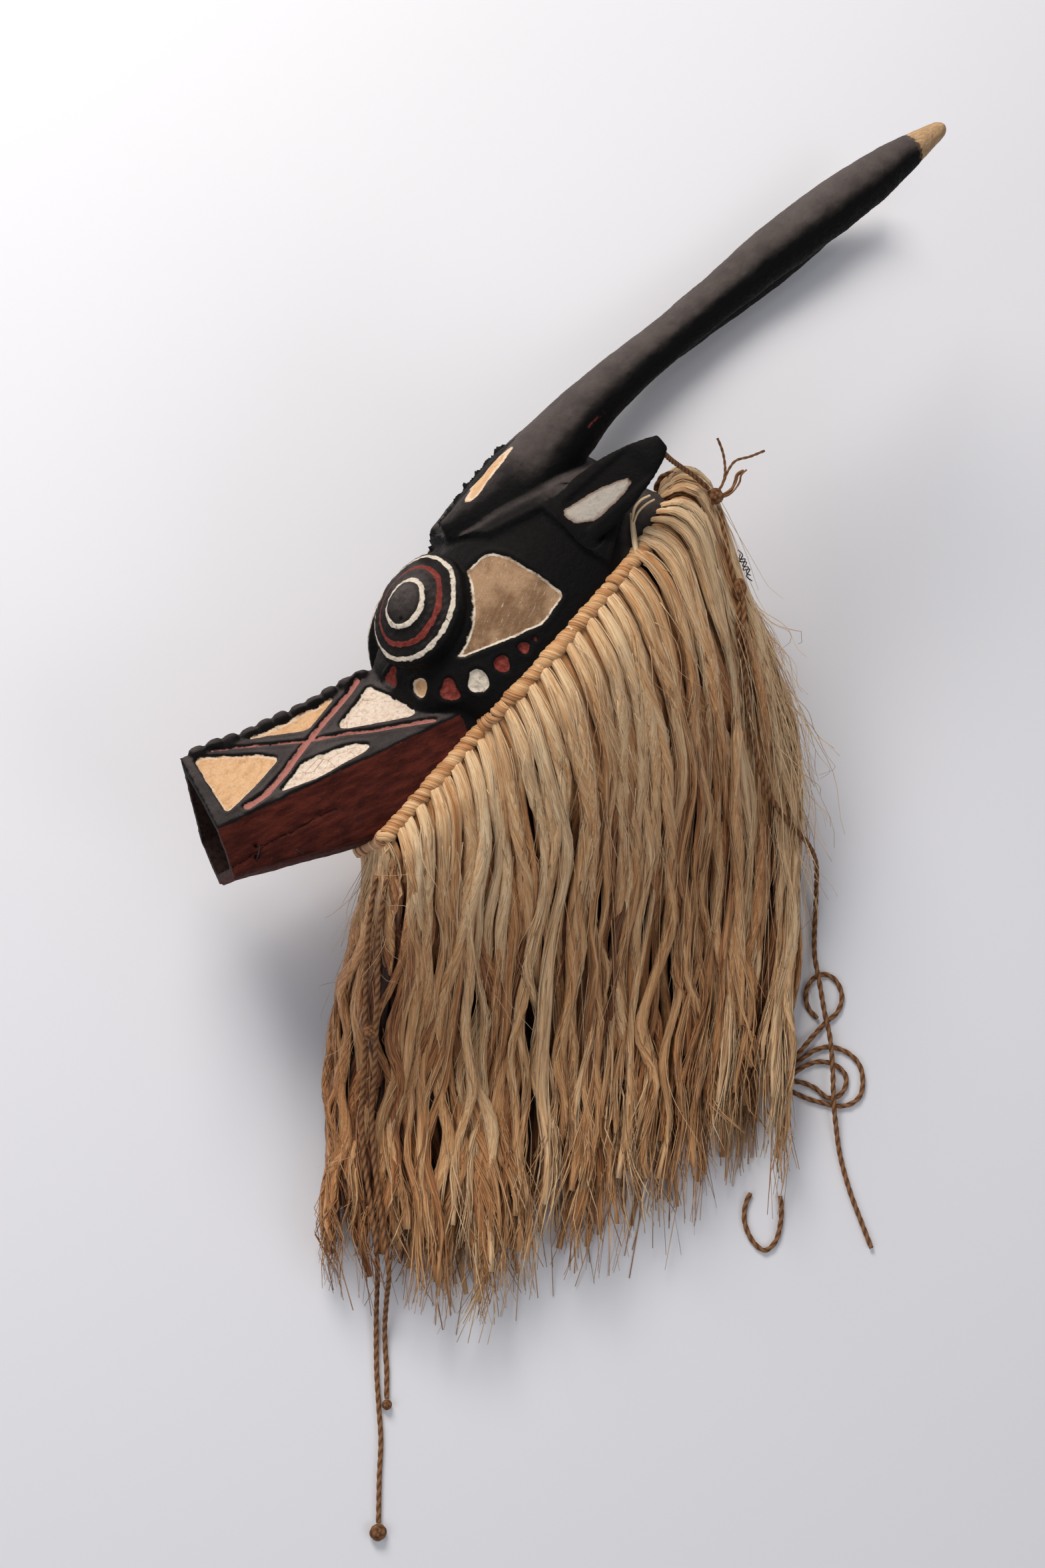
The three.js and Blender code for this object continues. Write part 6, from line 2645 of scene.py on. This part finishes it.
# Stage
@dataclass(frozen=True)
class Stage:
    """Camera, lights and floor."""

    size: tuple = (1568, 2352)
    away: float = 3.0
    towards: tuple = (-0.187, -0.091, 0.978)
    target: tuple = (-0.0211, -0.0405, 0.122)
    focal_pixels: float = 6600.0
    floor_half: float = 3.0

    def aim(self, name: str, data: bpy.types.ID, back: Array, spot: Array, guide: tuple) -> None:
        """Puts a camera or light into the scene.

        Args:
            name: Name of the object.
            data: Camera or light.
            back: Direction that it looks away from.
            spot: Place in metres.
            guide: Direction that is roughly up in its view.
        """
        obj = bpy.data.objects.new(name, data)
        right = unit(np.cross(guide, back))
        matrix = np.eye(4)
        matrix[:3] = np.column_stack([right, np.cross(back, right), back, spot])
        obj.matrix_world = Matrix(matrix)
        bpy.context.scene.collection.objects.link(obj)

    def camera(self) -> None:
        """Looks down on the mask from the photo's side."""
        data = bpy.data.cameras.new("camera")
        back = unit(np.array(self.towards))
        self.aim("camera", data, back, np.array(self.target) + back * self.away, (0.0, 1.0, 0.0))
        data.sensor_fit = "VERTICAL"
        data.sensor_height = 36.0
        data.lens = 36.0 * self.focal_pixels / self.size[1]
        data.clip_end = 20.0
        bpy.context.scene.camera = bpy.data.objects["camera"]

    def light(self, name: str, spot: tuple, power: float, size: tuple, tone: str) -> None:
        """Rectangular soft light that faces the mask.

        Args:
            name: Name of the light.
            spot: Place in metres.
            power: Power in watts.
            size: Its two sides in metres.
            tone: Hex colour.
        """
        data = bpy.data.lights.new(name, "AREA")
        data.shape = "RECTANGLE"
        data.size, data.size_y = size
        data.energy = power
        data.color = linear(tone)[:3]
        back = unit(np.array(spot) - np.array(self.target))
        self.aim(name, data, back, np.array(spot), (0.0, 1.0, 0.01))

    def build(self) -> None:
        """Puts up floor, world and lights."""
        points = self.floor_half * np.array([[-1, -1, 0], [1, -1, 0], [1, 1, 0], [-1, 1, 0]], float)
        floor = build_mesh("floor", points, [np.array([[0, 1, 2, 3]])])
        floor.data.materials.append(plain_material("pale studio paper", "#e3e3e8", 0.9))
        world = bpy.data.worlds.new("studio")
        world.use_nodes = True
        sky = world.node_tree.nodes["Background"].inputs
        sky["Color"].default_value = linear("#dfe3ea")
        sky["Strength"].default_value = 0.35
        bpy.context.scene.world = world
        bpy.context.scene.view_settings.view_transform = "Standard"
        self.light("key", (-0.8, 1.5, 1.5), 46, (1.1, 0.9), "#fff9f2")
        self.light("fill", (-1.6, -0.7, 1.7), 12, (1.2, 1.6), "#f6f7fa")
        self.light("low", (1.5, -1.2, 1.9), 8, (1.2, 1.2), "#ffffff")


def give(obj: bpy.types.Object, material: bpy.types.Material, slot: str, *nodes: str) -> None:
    """Finishes a piece: material, body and the CAD nodes that it takes the place of.

    Args:
        obj: Mesh object of the piece.
        material: Its look.
        slot: Not used.
        nodes: CAD nodes that it takes the place of.
    """
    obj.data.materials.clear()
    obj.data.materials.append(material)
    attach(obj, "root")
    if nodes:
        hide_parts(*nodes)


@dataclass(frozen=True)
class Cords:
    """All cords and knots of plant fibre, with the length of each loose cord logged."""

    twine: Twine = Twine()
    # Knots that stand for a node of the source; the others are in scene.py alone
    named_knots: tuple = ("back_knot", "front_cord_hitch", "front_cord_end_knot")

    def build(self, material: bpy.types.Material) -> None:
        """Makes every cord, tail and knot.

        Args:
            material: Look of the cord fibre.
        """
        pieces = {}
        for knot in KNOTS:
            pieces[knot.name] = knot.build()
            nodes = [knot.name] if knot.name in self.named_knots else []
            give(pieces[knot.name], material, "cord_fibre", *nodes)
        for tail in TAILS:
            pieces[tail.name] = tail.build(step=1.0, sides=10)
            give(pieces[tail.name], material, "cord_fibre")
        for cord in ROUTES:
            line = spline(cord.route, self.twine.step)
            obj = self.twine.build(cord.name, line)
            give(obj, material, "cord_fibre", cord.name)
            path = cord_to_row(line)
            length = float(np.linalg.norm(np.diff(path, axis=0), axis=1).sum())
            [pieces[name] for name in cord.tied]
            LOG.info("%s: %.0f mm", cord.name, length / MM)


@dataclass(frozen=True)
class Wires:
    """Dark wire twisted at the nape and stitched through the snout."""

    colour: str = "#1b1817"
    stitch: Twine = Twine(1.0, 40.0, 0.5, 8)

    def build(self) -> None:
        """Makes the wires."""
        iron = plain_material("blackened iron wire", self.colour, 0.55, 0.1)
        for wire in WIRES:
            give(wire.build(step=0.5, sides=8), iron, "cord_fibre")
        for name, route in STITCHES:
            line = head_to_lying(np.array(route, float)) + np.array([0, 0, HALF_WIDTH])
            give(self.stitch.build(name, spline(line, self.stitch.step)), iron, "painted_wood")


@dataclass(frozen=True)
class Bark:
    """Pale strip of bark caught behind the ear, split into three at its lower end."""

    # Each piece's route in lying coordinates, its width and its tint
    pieces: tuple = (
        (((61.9, 147.2, 85.5), (60.6, 157, 83.5), (60, 168, 79.5), (60.5, 176.5, 76)), 5.2, 0.8),
        (((60.2, 172, 78), (62, 180, 76.5), (67, 186, 74.5), (74, 190, 71)), 2.4, 0.8),
        (((60.6, 169, 79), (64, 177, 77.5), (70, 183, 76), (76.5, 187, 73)), 1.8, 0.7),
    )
    thick: float = 0.9
    narrowing: float = 0.7
    paleness: float = -0.2
    face: tuple = (0.25, 0.2, 0.95)
    rings: int = 24

    def build(self, material: bpy.types.Material) -> None:
        """Makes the strip.

        Args:
            material: Look of the fibre.
        """
        paths = []
        for route, _, _ in self.pieces:
            line = spline(route, 0.5)
            paths.append(line[np.linspace(0, len(line) - 1, self.rings).round().astype(int)])
        paths = np.stack(paths)
        wide = np.array([[wide] for _, wide, _ in self.pieces])
        width = wide * lerp(1.0, self.narrowing, np.linspace(0, 1, self.rings)[None, :])
        flats = np.broadcast_to(np.array(self.face), paths.shape)
        tint = np.array([tint for _, _, tint in self.pieces])
        plain = np.zeros_like(width)
        strips = Strands(paths, flats, width, plain + self.thick, tint, plain + self.paleness)
        give(strips.build("bark_strip"), material, "fibre")


def main() -> None:
    """Builds the scene."""
    stage = Stage()
    stage.camera()
    Cords().build(CordFibre().make())
    carving = Carving()
    give(carving.make(), PaintedWood().make(), "painted_wood", "mask")
    fibre = Fibre().make()
    Fringe(Curtain(carving)).build(fibre)
    Bark().build(fibre)
    Wires().build()
    stage.build()


if __name__ == "__main__":
    main()
